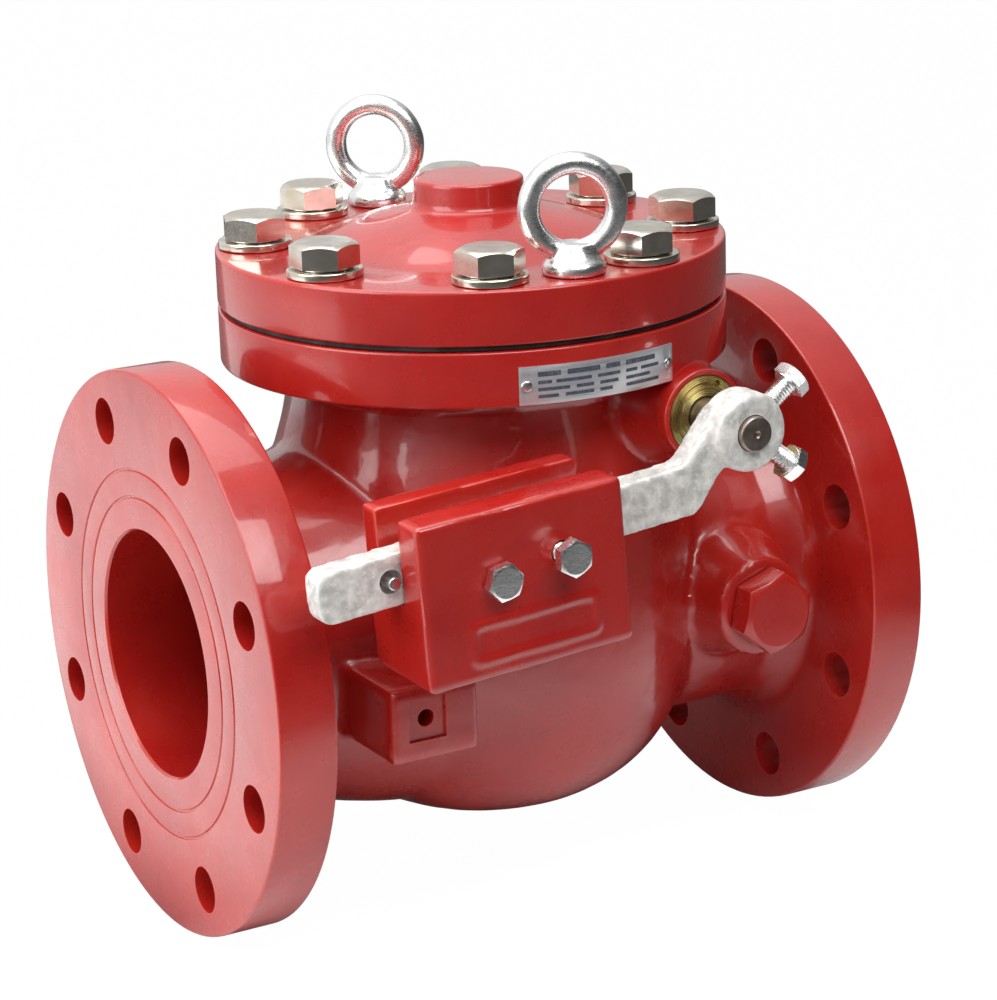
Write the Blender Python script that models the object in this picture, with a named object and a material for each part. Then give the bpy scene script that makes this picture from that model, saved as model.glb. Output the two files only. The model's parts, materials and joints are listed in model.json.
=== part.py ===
"""Flanged swing check valve, DN 100 (4 in), with an outside lever and counterweight.

Frame: X is the pipe axis, with the inlet flange at +X and the outlet flange at -X. Z is up.
The origin is on the pipe axis, midway between the two flange faces. The lever is on the -Y side.
The disc is closed and the lever is at its lowest. All sizes are in metres.
"""

import math

import bmesh
import bpy
from mathutils import Matrix, Vector

# Points this close are one point, and clearance kept between two touching pieces.
MERGE = 0.000005
GAP = 0.0003

# Pipe flanges, 4 in class 125/150.
FACE_TO_FACE = 0.292
BORE_RADIUS = 0.050
FLANGE_RADIUS = 0.1145
FLANGE_THICKNESS = 0.0239
FLANGE_HOLE_CIRCLE = 0.09525
FLANGE_HOLE_RADIUS = 0.0095
FLANGE_HOLES = 8
EDGE_CHAMFER = 0.001

# Body casting. The bowl and its neck are turned about a vertical axis at NECK_X.
NECK_X = 0.003
NECK_RADIUS = 0.0775
NECK_INNER_RADIUS = 0.068
BOWL_RADIUS = 0.0905
BOWL_BOTTOM = -0.0886
BOWL_MIDDLE = 0.010
BOWL_SQUARENESS = 2.6
WALL = 0.0115
PIPE_END_RADIUS = 0.066
SHOULDER_RADIUS = 0.0785
SHOULDER_INNER_RADIUS = 0.0665
SHOULDER_START = -0.116
SHOULDER_END = -0.048
SEAT_FACE_X = 0.060
SEAT_RECESS_RADIUS = 0.060
SEAT_RECESS_DEPTH = 0.008
BULKHEAD_TOP = 0.066

# Bonnet flange, gasket and cover.
BONNET_RADIUS = 0.1035
BONNET_BOTTOM = 0.1045
BONNET_TOP = 0.1264
GASKET_THICKNESS = 0.0018
COVER_BOTTOM = BONNET_TOP + GASKET_THICKNESS + 2 * GAP
COVER_TOP = 0.1503
COVER_BOSS_RADIUS = 0.0222
COVER_BOSS_TOP = 0.1752
COVER_BOLTS = 8
COVER_BOLT_START = 21.0
COVER_BOLT_CIRCLE = 0.087
COVER_BOLT_RADIUS = 0.008
COVER_BOLT_HEAD_FLATS = 0.024
COVER_BOLT_HEAD_HEIGHT = 0.010
COVER_BOLT_TIP = 0.1115
COVER_WASHER_RADIUS = 0.015
COVER_WASHER_THICKNESS = 0.003

# Eyebolts, M10.
EYE_SHANK_RADIUS = 0.005
EYE_SHANK_DEPTH = 0.016
EYE_COLLAR_RADIUS = 0.0125
EYE_COLLAR_HEIGHT = 0.006
EYE_RING_HEIGHT = 0.0255
EYE_RING_RADIUS = 0.01715
EYE_RING_BAR_RADIUS = 0.0044
EYE_CIRCLE = 0.086
EYE_ANGLES = {"eyebolt_front": -91.5, "eyebolt_rear": 88.5}
EYE_FACING = {"eyebolt_front": -19.0, "eyebolt_rear": -41.0}

# Shaft, its bosses, bushes, packing and gland.
SHAFT_X = 0.0475
SHAFT_Z = 0.0908
SHAFT_RADIUS = 0.007
SHAFT_FRONT = -0.1410
SHAFT_REAR = 0.079
BOSS_RADIUS = 0.0203
FRONT_BOSS_END = 0.1040
FRONT_RING_START = 0.0600
FRONT_RING_RADIUS = 0.0180
REAR_BOSS_END = 0.0965
SPOT_FACE = 0.0960
SPOT_FACE_RADIUS = 0.0188
BUSH_RADIUS = 0.012
BUSH_START = 0.051
BUSH_END = 0.080
PACKING_RADIUS = 0.015
PACKING_LENGTH = 0.005
GLAND_RADIUS = 0.0157
GLAND_SEAT = 0.1000
GLAND_END = 0.1046
SEAL_RADIUS = 0.0175
END_PLUG_FLATS = 0.030
END_PLUG_HEAD = 0.009
PLUG_TURN = -19.0
KEY_SIZE = 0.005

# Disc and its arm. The disc is closed against the seat ring.
SEAT_RING_FACE_X = 0.056
DISC_RADIUS = 0.058
DISC_BACK_X = 0.0397
FACING_THICKNESS = 0.004
FACING_INNER_RADIUS = 0.030
DISC_FRONT_X = SEAT_RING_FACE_X - 2 * GAP - FACING_THICKNESS
STEM_RADIUS = 0.008
STEM_TIP_X = -0.001
ARM_BACK_X = 0.022
ARM_FRONT_X = 0.038
ARM_HUB_RADIUS = 0.017
ARM_HUB_HALF_WIDTH = 0.020
ARM_BOSS_RADIUS = 0.0165
SCREW_HOLE_RADIUS = 0.0053
FACING_PLATE_RADIUS = 0.046
FACING_PLATE_THICKNESS = 0.003
WASHER_RADIUS = 0.0145
WASHER_THICKNESS = 0.0025
NUT_FLATS = 0.024
NUT_HEIGHT = 0.012
SPLIT_PIN_RADIUS = 0.0015
SPLIT_PIN_HALF_LENGTH = 0.0125
SPLIT_PIN_EYE_RADIUS = 0.0022
SPLIT_PIN_EYE_REACH = 0.0142

# Lever and counterweight, in the lever's own tilted frame about the shaft.
LEVER_TILT = 5.5
LEVER_FRONT = -0.1330
LEVER_THICKNESS = 0.0115
LEVER_HEIGHT = 0.0202
LEVER_DROP = 0.0174
LEVER_TIP = -0.1862
LEVER_CORNER = 0.0045
LEVER_BEND = -0.0268
LEVER_HEEL = -0.0276
HUB_RADIUS = 0.0156
HUB_FRONT = -0.1385
HUB_REAR = -0.1230
HUB_SCREW_Y = -0.1310
HUB_SCREW_SEAT = 0.0252
HUB_SCREW_ANGLES = {"hub_screw_upper": 30.0, "hub_screw_lower": -43.0}
WEIGHT_U = -0.1101
WEIGHT_W = -0.0278
WEIGHT_TURN = -1.7
WEIGHT_HALF_LENGTH = 0.0433
WEIGHT_HALF_HEIGHT = 0.0320
WEIGHT_FRONT = -0.1495
WEIGHT_REAR = -0.1056
SLOT_FRONT = -0.1335
SLOT_REAR = -0.1170
WEIGHT_BOLTS = {"weight_bolt_left": (-0.1212, -0.0222, 0.0), "weight_bolt_right": (-0.0943, -0.0190, 0.005)}
STOP_PIN_U = -0.1570
STOP_PIN_RADIUS = 0.0025
STOP_PIN_STAND = 0.0035
STOP_HOLE_RADIUS = 0.0047
STOP_HOLE_DEPTH = 0.0050
KEY_COVER = 0.0035

# Side plug, cast pad and nameplate.
PLUG_X = 0.0860
PLUG_BOSS_RADIUS = 0.0205
PLUG_BOSS_END = 0.0875
PLUG_RADIUS = 0.0105
PLUG_FLATS = 0.030
PLUG_HEAD = 0.012
PAD_LOW = Vector((-0.0965, -0.1080, -0.0245))
PAD_HIGH = Vector((-0.0585, -0.0400, 0.0055))
PAD_HOLE = Vector((-0.0812, -0.1080, -0.0075))
PLATE_ANGLES = (-109.5, -71.5)
PLATE_BOTTOM = 0.1054
PLATE_HEIGHT = 0.0148
PLATE_THICKNESS = 0.0008
RIVET_INSET = 1.6

# Facets round a full turn.
FINE = 36
MEDIUM = 24
COARSE = 16

# Turns a piece modelled along its own Z so that it lies along the named direction.
ALONG = {
    "Z": (0.0, 0.0, 0.0),
    "X": (0.0, math.pi / 2, 0.0),
    "Y": (-math.pi / 2, 0.0, 0.0),
    "-Y": (math.pi / 2, 0.0, 0.0),
}

RED = (0.42, 0.022, 0.018)
COLOURS = {
    "red_enamel": (RED, 0.25, 0.0),
    "zinc": ((0.62, 0.60, 0.57), 0.32, 1.0),
    "bright_steel": ((0.78, 0.78, 0.80), 0.18, 1.0),
    "galvanised": ((0.66, 0.68, 0.66), 0.50, 0.8),
    "yellow_chromate": ((0.55, 0.42, 0.14), 0.35, 1.0),
    "bronze": ((0.55, 0.36, 0.16), 0.35, 1.0),
    "rubber": ((0.02, 0.02, 0.02), 0.75, 0.0),
    "gasket": ((0.035, 0.03, 0.03), 0.85, 0.0),
    "plate": ((0.72, 0.73, 0.75), 0.38, 0.6),
}


def clear_scene():
    for thing in list(bpy.data.objects):
        bpy.data.objects.remove(thing, do_unlink=True)


def material_named(name):
    """The Principled material of that name from COLOURS, made once."""
    found = bpy.data.materials.get(name)
    if found:
        return found
    colour, roughness, metallic = COLOURS[name]
    made = bpy.data.materials.new(name)
    made.use_nodes = True
    made.diffuse_color = (*colour, 1.0)
    shader = made.node_tree.nodes["Principled BSDF"]
    shader.inputs["Base Color"].default_value = (*colour, 1.0)
    shader.inputs["Roughness"].default_value = roughness
    shader.inputs["Metallic"].default_value = metallic
    return made


def piece(name, mesh, look, along="Z", at=(0.0, 0.0, 0.0), parent=None):
    """An object of its own for one physical piece, with its material and its place."""
    mesh.name = name
    made = bpy.data.objects.new(name, mesh)
    bpy.context.scene.collection.objects.link(made)
    mesh.materials.append(material_named(look))
    mesh.shade_smooth()
    mesh.set_sharp_from_angle(angle=math.radians(32))
    made.location = at
    made.rotation_euler = ALONG[along]
    made.parent = parent
    return made


def shape(name, mesh, along="Z", at=(0.0, 0.0, 0.0), parent=None):
    """A helper shape that a Boolean adds to a piece or cuts from it."""
    made = piece(name, mesh, "red_enamel", along, at, parent)
    made.hide_render = True
    made.display_type = "WIRE"
    return made


def combine(target, tool, operation):
    """Adds or cuts the tool with a Boolean modifier that stays on the target."""
    step = target.modifiers.new(tool.name, "BOOLEAN")
    step.operation = operation
    step.solver = "EXACT"
    step.object = tool


def join(target, *tools):
    for tool in tools:
        combine(target, tool, "UNION")


def cut(target, *tools):
    for tool in tools:
        combine(target, tool, "DIFFERENCE")


def finished(shape_mesh):
    """The bmesh as a mesh, with its doubles merged and its faces pointing out."""
    bmesh.ops.remove_doubles(shape_mesh, verts=shape_mesh.verts, dist=MERGE)
    bmesh.ops.recalc_face_normals(shape_mesh, faces=shape_mesh.faces)
    mesh = bpy.data.meshes.new("shape")
    shape_mesh.to_mesh(mesh)
    shape_mesh.free()
    return mesh


def turned(profile, segments, ring=False):
    """A turned solid about Z. The profile lists (radius, height); a ring's profile is a closed loop."""
    work = bmesh.new()
    points = [work.verts.new((radius, 0.0, height)) for radius, height in profile]
    pairs = list(zip(points, points[1:]))
    if ring:
        pairs.append((points[-1], points[0]))
    edges = [work.edges.new(pair) for pair in pairs]
    bmesh.ops.spin(
        work, geom=points + edges, cent=(0, 0, 0), axis=(0, 0, 1), angle=2 * math.pi, steps=segments
    )
    bmesh.ops.remove_doubles(work, verts=work.verts, dist=MERGE)
    return finished(work)


def rod(radius, low, high, segments=COARSE, chamfer=0.0):
    """A solid round bar about Z from low to high, with chamfered ends if asked."""
    if chamfer:
        edge = radius - chamfer
        rim = [(edge, low), (radius, low + chamfer), (radius, high - chamfer), (edge, high)]
    else:
        rim = [(radius, low), (radius, high)]
    return turned([(0.0, low), *rim, (0.0, high)], segments)


def tube(inner, outer, low, high, segments=MEDIUM):
    """A plain ring about Z."""
    return turned([(inner, low), (outer, low), (outer, high), (inner, high)], segments, ring=True)


def prism(outline, low, high):
    """A solid with a flat outline of (x, y) points, from height low to high."""
    work = bmesh.new()
    face = work.faces.new([work.verts.new((x, y, low)) for x, y in outline])
    grown = bmesh.ops.extrude_face_region(work, geom=[face])
    top = [part for part in grown["geom"] if isinstance(part, bmesh.types.BMVert)]
    bmesh.ops.translate(work, verts=top, vec=(0.0, 0.0, high - low))
    return finished(work)


def arc(centre, radius, start, end, steps):
    """Points on a circular arc, with the angles in degrees."""
    angles = [math.radians(start + (end - start) * i / steps) for i in range(steps + 1)]
    return [(centre[0] + radius * math.cos(a), centre[1] + radius * math.sin(a)) for a in angles]


def hexagon(flats, low, high):
    """A hexagonal prism about Z, its top edge rounded off as on a bolt head."""
    corner = flats / math.sqrt(3)
    work = bmesh.new()
    bmesh.ops.create_cone(
        work, cap_ends=True, segments=6, radius1=corner, radius2=corner, depth=high - low
    )
    bmesh.ops.translate(work, verts=work.verts, vec=(0.0, 0.0, (high + low) / 2))
    return finished(work)


def box(low, high):
    """A block between two opposite corners."""
    low, high = Vector(low), Vector(high)
    work = bmesh.new()
    bmesh.ops.create_cube(work, size=1.0)
    bmesh.ops.scale(work, verts=work.verts, vec=high - low)
    bmesh.ops.translate(work, verts=work.verts, vec=(high + low) / 2)
    return finished(work)


def round_row(radius, low, high, circle, angles, segments=COARSE):
    """One mesh of equal round bars about Z, set out on a circle."""
    work = bmesh.new()
    for angle in angles:
        place = Matrix.Rotation(math.radians(angle), 4, "Z") @ Matrix.Translation(
            (circle, 0.0, (low + high) / 2)
        )
        bmesh.ops.create_cone(
            work, cap_ends=True, segments=segments, radius1=radius, radius2=radius,
            depth=high - low, matrix=place,
        )
    return finished(work)


def on_circle(radius, angle, height):
    """A point on a circle about the neck's vertical axis."""
    turn = math.radians(angle)
    return (NECK_X + radius * math.cos(turn), radius * math.sin(turn), height)


def empty(name, at, tilt=0.0, parent=None):
    """A joint's frame, which carries the pieces that move together."""
    made = bpy.data.objects.new(name, None)
    bpy.context.scene.collection.objects.link(made)
    made.location = at
    made.rotation_euler = (0.0, -math.radians(tilt), 0.0)
    made.parent = parent
    return made


def bowl_curve(radius, bottom, steps):
    """The lower half of the bowl, a squared ellipse from its lowest point up to its widest."""
    power = 2 / BOWL_SQUARENESS
    depth = BOWL_MIDDLE - bottom
    turns = [math.pi / 2 * (1 - i / steps) for i in range(steps + 1)]
    return [
        (radius * math.cos(t) ** power if i else 0.0, BOWL_MIDDLE - depth * math.sin(t) ** power)
        for i, t in enumerate(turns)
    ]


def shoulder_curve(narrow, wide, start, end, steps):
    """A smooth S from the pipe end's radius to the bowl's, as (radius, x)."""
    curve = []
    for i in range(steps + 1):
        t = i / steps
        curve.append((narrow + (wide - narrow) * t * t * (3 - 2 * t), start + (end - start) * t))
    return curve


def body_outside():
    """The casting's outer shape: the bowl with its neck and bonnet flange, then the pipe ends."""
    casting = piece(
        "body",
        turned(
            [
                *bowl_curve(BOWL_RADIUS, BOWL_BOTTOM, 8),
                (BOWL_RADIUS - 0.0005, 0.035),
                (BOWL_RADIUS - 0.004, 0.058),
                (NECK_RADIUS + 0.002, 0.080),
                (NECK_RADIUS, 0.092),
                (NECK_RADIUS + 0.0015, 0.1005),
                (NECK_RADIUS + 0.006, BONNET_BOTTOM),
                (BONNET_RADIUS - EDGE_CHAMFER, BONNET_BOTTOM),
                (BONNET_RADIUS, BONNET_BOTTOM + EDGE_CHAMFER),
                (BONNET_RADIUS, BONNET_TOP - EDGE_CHAMFER),
                (BONNET_RADIUS - EDGE_CHAMFER, BONNET_TOP),
                (0.0, BONNET_TOP),
            ],
            FINE,
        ),
        "red_enamel",
        at=(NECK_X, 0.0, 0.0),
    )
    end = FACE_TO_FACE / 2
    back = end - FLANGE_THICKNESS
    flange = [
        (FLANGE_RADIUS - EDGE_CHAMFER, end),
        (FLANGE_RADIUS, end - EDGE_CHAMFER),
        (FLANGE_RADIUS, back + EDGE_CHAMFER),
        (FLANGE_RADIUS - EDGE_CHAMFER, back),
        (PIPE_END_RADIUS + 0.006, back),
        (PIPE_END_RADIUS + 0.0015, back - 0.0025),
        (PIPE_END_RADIUS, back - 0.007),
    ]
    outlet = [(radius, -x) for radius, x in flange[:-1]]
    run = turned(
        [
            (0.0, -end),
            *outlet,
            *shoulder_curve(PIPE_END_RADIUS, SHOULDER_RADIUS, SHOULDER_START, SHOULDER_END, 5),
            (SHOULDER_RADIUS, 0.0),
            (PIPE_END_RADIUS, 0.040),
            *reversed(flange),
            (0.0, end),
        ],
        FINE,
    )
    boss_mesh = turned(
        [
            (0.0, -FRONT_BOSS_END),
            (FRONT_RING_RADIUS - EDGE_CHAMFER, -FRONT_BOSS_END),
            (FRONT_RING_RADIUS, EDGE_CHAMFER - FRONT_BOSS_END),
            (FRONT_RING_RADIUS, -FRONT_RING_START),
            (BOSS_RADIUS, -FRONT_RING_START),
            (BOSS_RADIUS, REAR_BOSS_END - EDGE_CHAMFER),
            (BOSS_RADIUS - EDGE_CHAMFER, REAR_BOSS_END),
            (0.0, REAR_BOSS_END),
        ],
        MEDIUM,
    )
    bosses = shape("shaft_bosses_shape", boss_mesh, "Y", (SHAFT_X, 0.0, SHAFT_Z))
    plug_mesh = rod(PLUG_BOSS_RADIUS, 0.055, PLUG_BOSS_END, MEDIUM, 0.0015)
    plug_boss = shape("plug_boss_shape", plug_mesh, "-Y", (PLUG_X, 0.0, 0.0))
    pad = shape("pad_shape", box(PAD_LOW, PAD_HIGH))
    rounding = pad.modifiers.new("rounded_edges", "BEVEL")
    rounding.width = 0.0025
    rounding.segments = 2
    join(casting, shape("pipe_run_shape", run, "X"), bosses, plug_boss, pad)
    return casting


def body_inside(casting):
    """The passages through the casting, and the recess of the seat ring."""
    end = FACE_TO_FACE / 2 + 0.002
    inner = NECK_INNER_RADIUS
    chamber_mesh = turned(
        [
            *bowl_curve(BOWL_RADIUS - WALL, BOWL_BOTTOM + WALL, 6),
            (BOWL_RADIUS - WALL - 0.001, 0.045),
            (inner + 0.004, 0.072),
            (inner, 0.088),
            (inner, BONNET_TOP + 0.002),
            (0.0, BONNET_TOP + 0.002),
        ],
        FINE,
    )
    chamber = shape("chamber_shape", chamber_mesh, at=(NECK_X, 0.0, 0.0))
    bulkhead = box((SEAT_FACE_X, -0.1, -0.1), (0.12, 0.1, BULKHEAD_TOP))
    cut(chamber, shape("bulkhead_shape", bulkhead))
    outlet = turned(
        [
            (0.0, -end),
            (BORE_RADIUS, -end),
            *shoulder_curve(BORE_RADIUS, SHOULDER_INNER_RADIUS, SHOULDER_START, SHOULDER_END, 5),
            (SHOULDER_INNER_RADIUS, -0.030),
            (0.0, -0.030),
        ],
        FINE,
    )
    recess = SEAT_FACE_X + SEAT_RECESS_DEPTH
    inlet = turned(
        [
            (0.0, SEAT_FACE_X - 0.004),
            (SEAT_RECESS_RADIUS, SEAT_FACE_X - 0.004),
            (SEAT_RECESS_RADIUS, recess),
            (BORE_RADIUS, recess),
            (BORE_RADIUS, end),
            (0.0, end),
        ],
        FINE,
    )
    cut(
        casting,
        chamber,
        shape("outlet_shape", outlet, "X"),
        shape("inlet_shape", inlet, "X"),
    )


def bolt_angles():
    return [COVER_BOLT_START + 360.0 / COVER_BOLTS * i for i in range(COVER_BOLTS)]


def body_holes(casting):
    """Flange bolt holes, tapped holes, the shaft's stepped bore, the plug's hole and the pad's."""
    end = FACE_TO_FACE / 2 + 0.002
    back = FACE_TO_FACE / 2 - FLANGE_THICKNESS - 0.004
    step = 360.0 / FLANGE_HOLES
    angles = [step / 2 + step * i for i in range(FLANGE_HOLES)]
    inlet_holes = round_row(FLANGE_HOLE_RADIUS, back, end, FLANGE_HOLE_CIRCLE, angles, 12)
    outlet_holes = round_row(FLANGE_HOLE_RADIUS, -end, -back, FLANGE_HOLE_CIRCLE, angles, 12)
    tapped = round_row(
        COVER_BOLT_RADIUS + GAP, BONNET_TOP - 0.017, BONNET_TOP + 0.002, COVER_BOLT_CIRCLE,
        bolt_angles(), 12,
    )
    bore = BUSH_RADIUS + GAP
    stuffing = PACKING_RADIUS + GAP
    shoulder = BUSH_END + GAP
    front = FRONT_BOSS_END + 0.002
    rear = REAR_BOSS_END + 0.002
    shaft_bore = turned(
        [
            (0.0, -front),
            (GLAND_RADIUS + GAP, -front),
            (GLAND_RADIUS + GAP, -GLAND_SEAT + GAP),
            (stuffing, -GLAND_SEAT + GAP),
            (stuffing, -shoulder),
            (bore, -shoulder),
            (bore, shoulder),
            (stuffing, shoulder),
            (stuffing, rear),
            (0.0, rear),
        ],
        24,
    )
    spot_face = rod(SPOT_FACE_RADIUS, SPOT_FACE, BONNET_RADIUS + 0.004, MEDIUM)
    plug_hole = rod(PLUG_RADIUS + GAP, 0.040, PLUG_BOSS_END + 0.002, 24)
    pad_hole = rod(0.0035, 0.095, 0.110, 16)
    reach = Vector((0.008, 0.0015, 0.0085))
    recess = box(PAD_HOLE - reach, PAD_HOLE + reach)
    cut(
        casting,
        shape("inlet_flange_holes", inlet_holes, "X"),
        shape("outlet_flange_holes", outlet_holes, "X"),
        shape("tapped_holes", tapped, at=(NECK_X, 0.0, 0.0)),
        shape("shaft_bore", shaft_bore, "Y", (SHAFT_X, 0.0, SHAFT_Z)),
        shape("rear_spot_face", spot_face, "Y", (SHAFT_X, 0.0, SHAFT_Z)),
        shape("plug_hole", plug_hole, "-Y", (PLUG_X, 0.0, 0.0)),
        shape("pad_recess", recess),
        shape("pad_hole", pad_hole, "-Y", (PAD_HOLE.x, 0.0, PAD_HOLE.z)),
    )
    for name, angle in rivet_angles().items():
        hole = rod(0.0015, BONNET_RADIUS - 0.006, BONNET_RADIUS + 0.002, 12)
        cut(casting, radial(shape(name + "_hole", hole), angle))


def rivet_angles():
    low, high = PLATE_ANGLES
    return {"rivet_left": low + RIVET_INSET, "rivet_right": high - RIVET_INSET}


def radial(thing, angle):
    """Lays a piece modelled along Z along a radius of the bonnet flange, at the plate's height."""
    turn = math.radians(angle)
    outward = Vector((math.cos(turn), math.sin(turn), 0.0))
    thing.rotation_euler = outward.to_track_quat("Z", "Y").to_euler()
    thing.location = (NECK_X, 0.0, PLATE_BOTTOM + PLATE_HEIGHT / 2)
    return thing


def build_body():
    casting = body_outside()
    body_inside(casting)
    body_holes(casting)


def build_nameplate():
    """A thin curved plate on the bonnet flange's rim, and its two rivets."""
    low, high = PLATE_ANGLES
    inner = BONNET_RADIUS + GAP
    outer = inner + PLATE_THICKNESS
    outline = arc((0.0, 0.0), outer, low, high, 16) + arc((0.0, 0.0), inner, high, low, 16)
    mesh = prism(outline, PLATE_BOTTOM, PLATE_BOTTOM + PLATE_HEIGHT)
    plate = piece("nameplate", mesh, "plate", at=(NECK_X, 0.0, 0.0))
    for name, angle in rivet_angles().items():
        hole = rod(0.0015, BONNET_RADIUS - 0.006, BONNET_RADIUS + 0.004, 12)
        cut(plate, radial(shape(name + "_plate_hole", hole), angle))
        head = turned(
            [
                (0.0, BONNET_RADIUS - 0.005),
                (0.0012, BONNET_RADIUS - 0.005),
                (0.0012, outer + GAP),
                (0.0022, outer + GAP),
                (0.0018, outer + 0.0009),
                (0.0, outer + 0.0012),
            ],
            12,
        )
        radial(piece(name, head, "bright_steel"), angle)


def build_cover():
    """The domed cover with its flange and top boss, and the gasket under it."""
    top = [
        (BONNET_RADIUS - EDGE_CHAMFER, COVER_BOTTOM),
        (BONNET_RADIUS, COVER_BOTTOM + EDGE_CHAMFER),
        (BONNET_RADIUS, COVER_TOP - EDGE_CHAMFER),
        (BONNET_RADIUS - EDGE_CHAMFER, COVER_TOP),
        (0.068, COVER_TOP),
        (0.063, COVER_TOP + 0.0013),
        (0.044, COVER_TOP + 0.0080),
        (0.028, COVER_TOP + 0.0122),
        (COVER_BOSS_RADIUS, COVER_TOP + 0.0145),
        (COVER_BOSS_RADIUS, COVER_BOSS_TOP - EDGE_CHAMFER),
        (COVER_BOSS_RADIUS - EDGE_CHAMFER, COVER_BOSS_TOP),
        (0.0, COVER_BOSS_TOP),
    ]
    hollow = [(0.0, 0.1525), (0.030, 0.1500), (0.052, 0.1420), (0.060, 0.1330), (0.061, COVER_BOTTOM)]
    cover = piece("cover", turned(hollow + top, FINE), "red_enamel", at=(NECK_X, 0.0, 0.0))
    hole = COVER_BOLT_RADIUS + 0.0005
    clearance = round_row(
        hole, COVER_BOTTOM - 0.002, COVER_TOP + 0.002, COVER_BOLT_CIRCLE, bolt_angles(), 12
    )
    eye_holes = round_row(
        EYE_SHANK_RADIUS + GAP, COVER_TOP - EYE_SHANK_DEPTH - 0.001, COVER_TOP + 0.002, EYE_CIRCLE,
        EYE_ANGLES.values(), 12,
    )
    cut(
        cover,
        shape("cover_bolt_holes", clearance, at=(NECK_X, 0.0, 0.0)),
        shape("eyebolt_holes", eye_holes, at=(NECK_X, 0.0, 0.0)),
    )
    low = BONNET_TOP + GAP
    sheet = tube(NECK_INNER_RADIUS + 0.0005, BONNET_RADIUS - 0.0025, low, low + GASKET_THICKNESS, 36)
    gasket = piece("cover_gasket", sheet, "gasket", at=(NECK_X, 0.0, 0.0))
    punched = round_row(hole, low - 0.001, low + 0.004, COVER_BOLT_CIRCLE, bolt_angles(), 12)
    cut(gasket, shape("gasket_holes", punched, at=(NECK_X, 0.0, 0.0)))


def bolt_mesh(radius, flats, head, tip, seat, segments=12):
    """A hexagon bolt about Z as one outline: a round shank from tip up to seat, then a six-sided head."""
    corner = flats / math.sqrt(3)
    work = bmesh.new()
    rings = []
    for size, height, sides in (
        (radius - 0.001, tip, 0),
        (radius, tip + 0.001, 0),
        (radius, seat, 0),
        (corner, seat, 6),
        (corner, seat + head * 0.85, 6),
        (corner * 0.86, seat + head, 0),
    ):
        ring = []
        for i in range(segments):
            angle = 2 * math.pi * i / segments
            reach = size
            if sides:
                within = angle % (math.pi / 3) - math.pi / 6
                reach = size * math.cos(math.pi / 6) / math.cos(within)
            ring.append(work.verts.new((reach * math.cos(angle), reach * math.sin(angle), height)))
        rings.append(ring)
    work.faces.new(reversed(rings[0]))
    work.faces.new(rings[-1])
    for low, high in zip(rings, rings[1:]):
        for i in range(segments):
            j = (i + 1) % segments
            work.faces.new((low[i], low[j], high[j], high[i]))
    return finished(work)


def build_cover_bolts():
    """Eight hexagon bolts with flat washers round the cover's flange."""
    washer_low = COVER_TOP + GAP
    washer_high = washer_low + COVER_WASHER_THICKNESS
    seat = washer_high + GAP
    bolt = bolt_mesh(COVER_BOLT_RADIUS, COVER_BOLT_HEAD_FLATS, COVER_BOLT_HEAD_HEIGHT, COVER_BOLT_TIP, seat)
    washer = tube(COVER_BOLT_RADIUS + 0.0005, COVER_WASHER_RADIUS, washer_low, washer_high, COARSE)
    for i, angle in enumerate(bolt_angles(), 1):
        spot = on_circle(COVER_BOLT_CIRCLE, angle, 0.0)
        head = piece(f"cover_bolt_{i}", bolt.copy(), "zinc", at=spot)
        head.rotation_euler.z = math.radians(17.0 * i)
        piece(f"cover_washer_{i}", washer.copy(), "zinc", at=spot)


def build_eyebolts():
    """Two lifting eyebolts, opposite each other between the cover bolts."""
    base = COVER_TOP + GAP
    for name, angle in EYE_ANGLES.items():
        stalk = turned(
            [
                (0.0, COVER_TOP - EYE_SHANK_DEPTH),
                (EYE_SHANK_RADIUS, COVER_TOP - EYE_SHANK_DEPTH),
                (EYE_SHANK_RADIUS, base),
                (EYE_COLLAR_RADIUS, base),
                (EYE_COLLAR_RADIUS, base + EYE_COLLAR_HEIGHT - 0.002),
                (EYE_COLLAR_RADIUS - 0.002, base + EYE_COLLAR_HEIGHT),
                (0.006, base + EYE_COLLAR_HEIGHT + 0.0022),
                (0.0, base + EYE_COLLAR_HEIGHT + 0.0022),
            ],
            18,
        )
        eye = piece(name, stalk, "bright_steel", at=on_circle(EYE_CIRCLE, angle, 0.0))
        facing = math.radians(EYE_FACING[name])
        section = arc((EYE_RING_RADIUS, 0.0), EYE_RING_BAR_RADIUS, 0, 300, 5)
        ring = shape(name + "_ring", turned(section, 20, ring=True), parent=eye)
        ring.location = (0.0, 0.0, COVER_TOP + EYE_RING_HEIGHT)
        ring.rotation_euler = (math.pi / 2, 0.0, facing)
        join(eye, ring)


def build_seat_ring():
    """The bronze seat ring in the body's recess, with a raised face for the disc."""
    rear = SEAT_FACE_X + SEAT_RECESS_DEPTH - GAP
    outer = SEAT_RECESS_RADIUS - GAP
    section = [
        (BORE_RADIUS, rear),
        (BORE_RADIUS, SEAT_RING_FACE_X),
        (0.0560, SEAT_RING_FACE_X),
        (0.0575, SEAT_RING_FACE_X + 0.002),
        (outer, SEAT_RING_FACE_X + 0.002),
        (outer, rear),
    ]
    piece("seat_ring", turned(section, 40, ring=True), "bronze", "X")


def build_side_plug():
    """The hexagon plug that closes the tapping in the inlet end."""
    mesh = bolt_mesh(PLUG_RADIUS, PLUG_FLATS, PLUG_HEAD, 0.060, PLUG_BOSS_END + GAP)
    plug = piece("side_plug", mesh, "red_enamel", "-Y", (PLUG_X, 0.0, 0.0))
    plug.rotation_euler = (math.pi / 2, math.radians(PLUG_TURN), 0.0)


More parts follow.
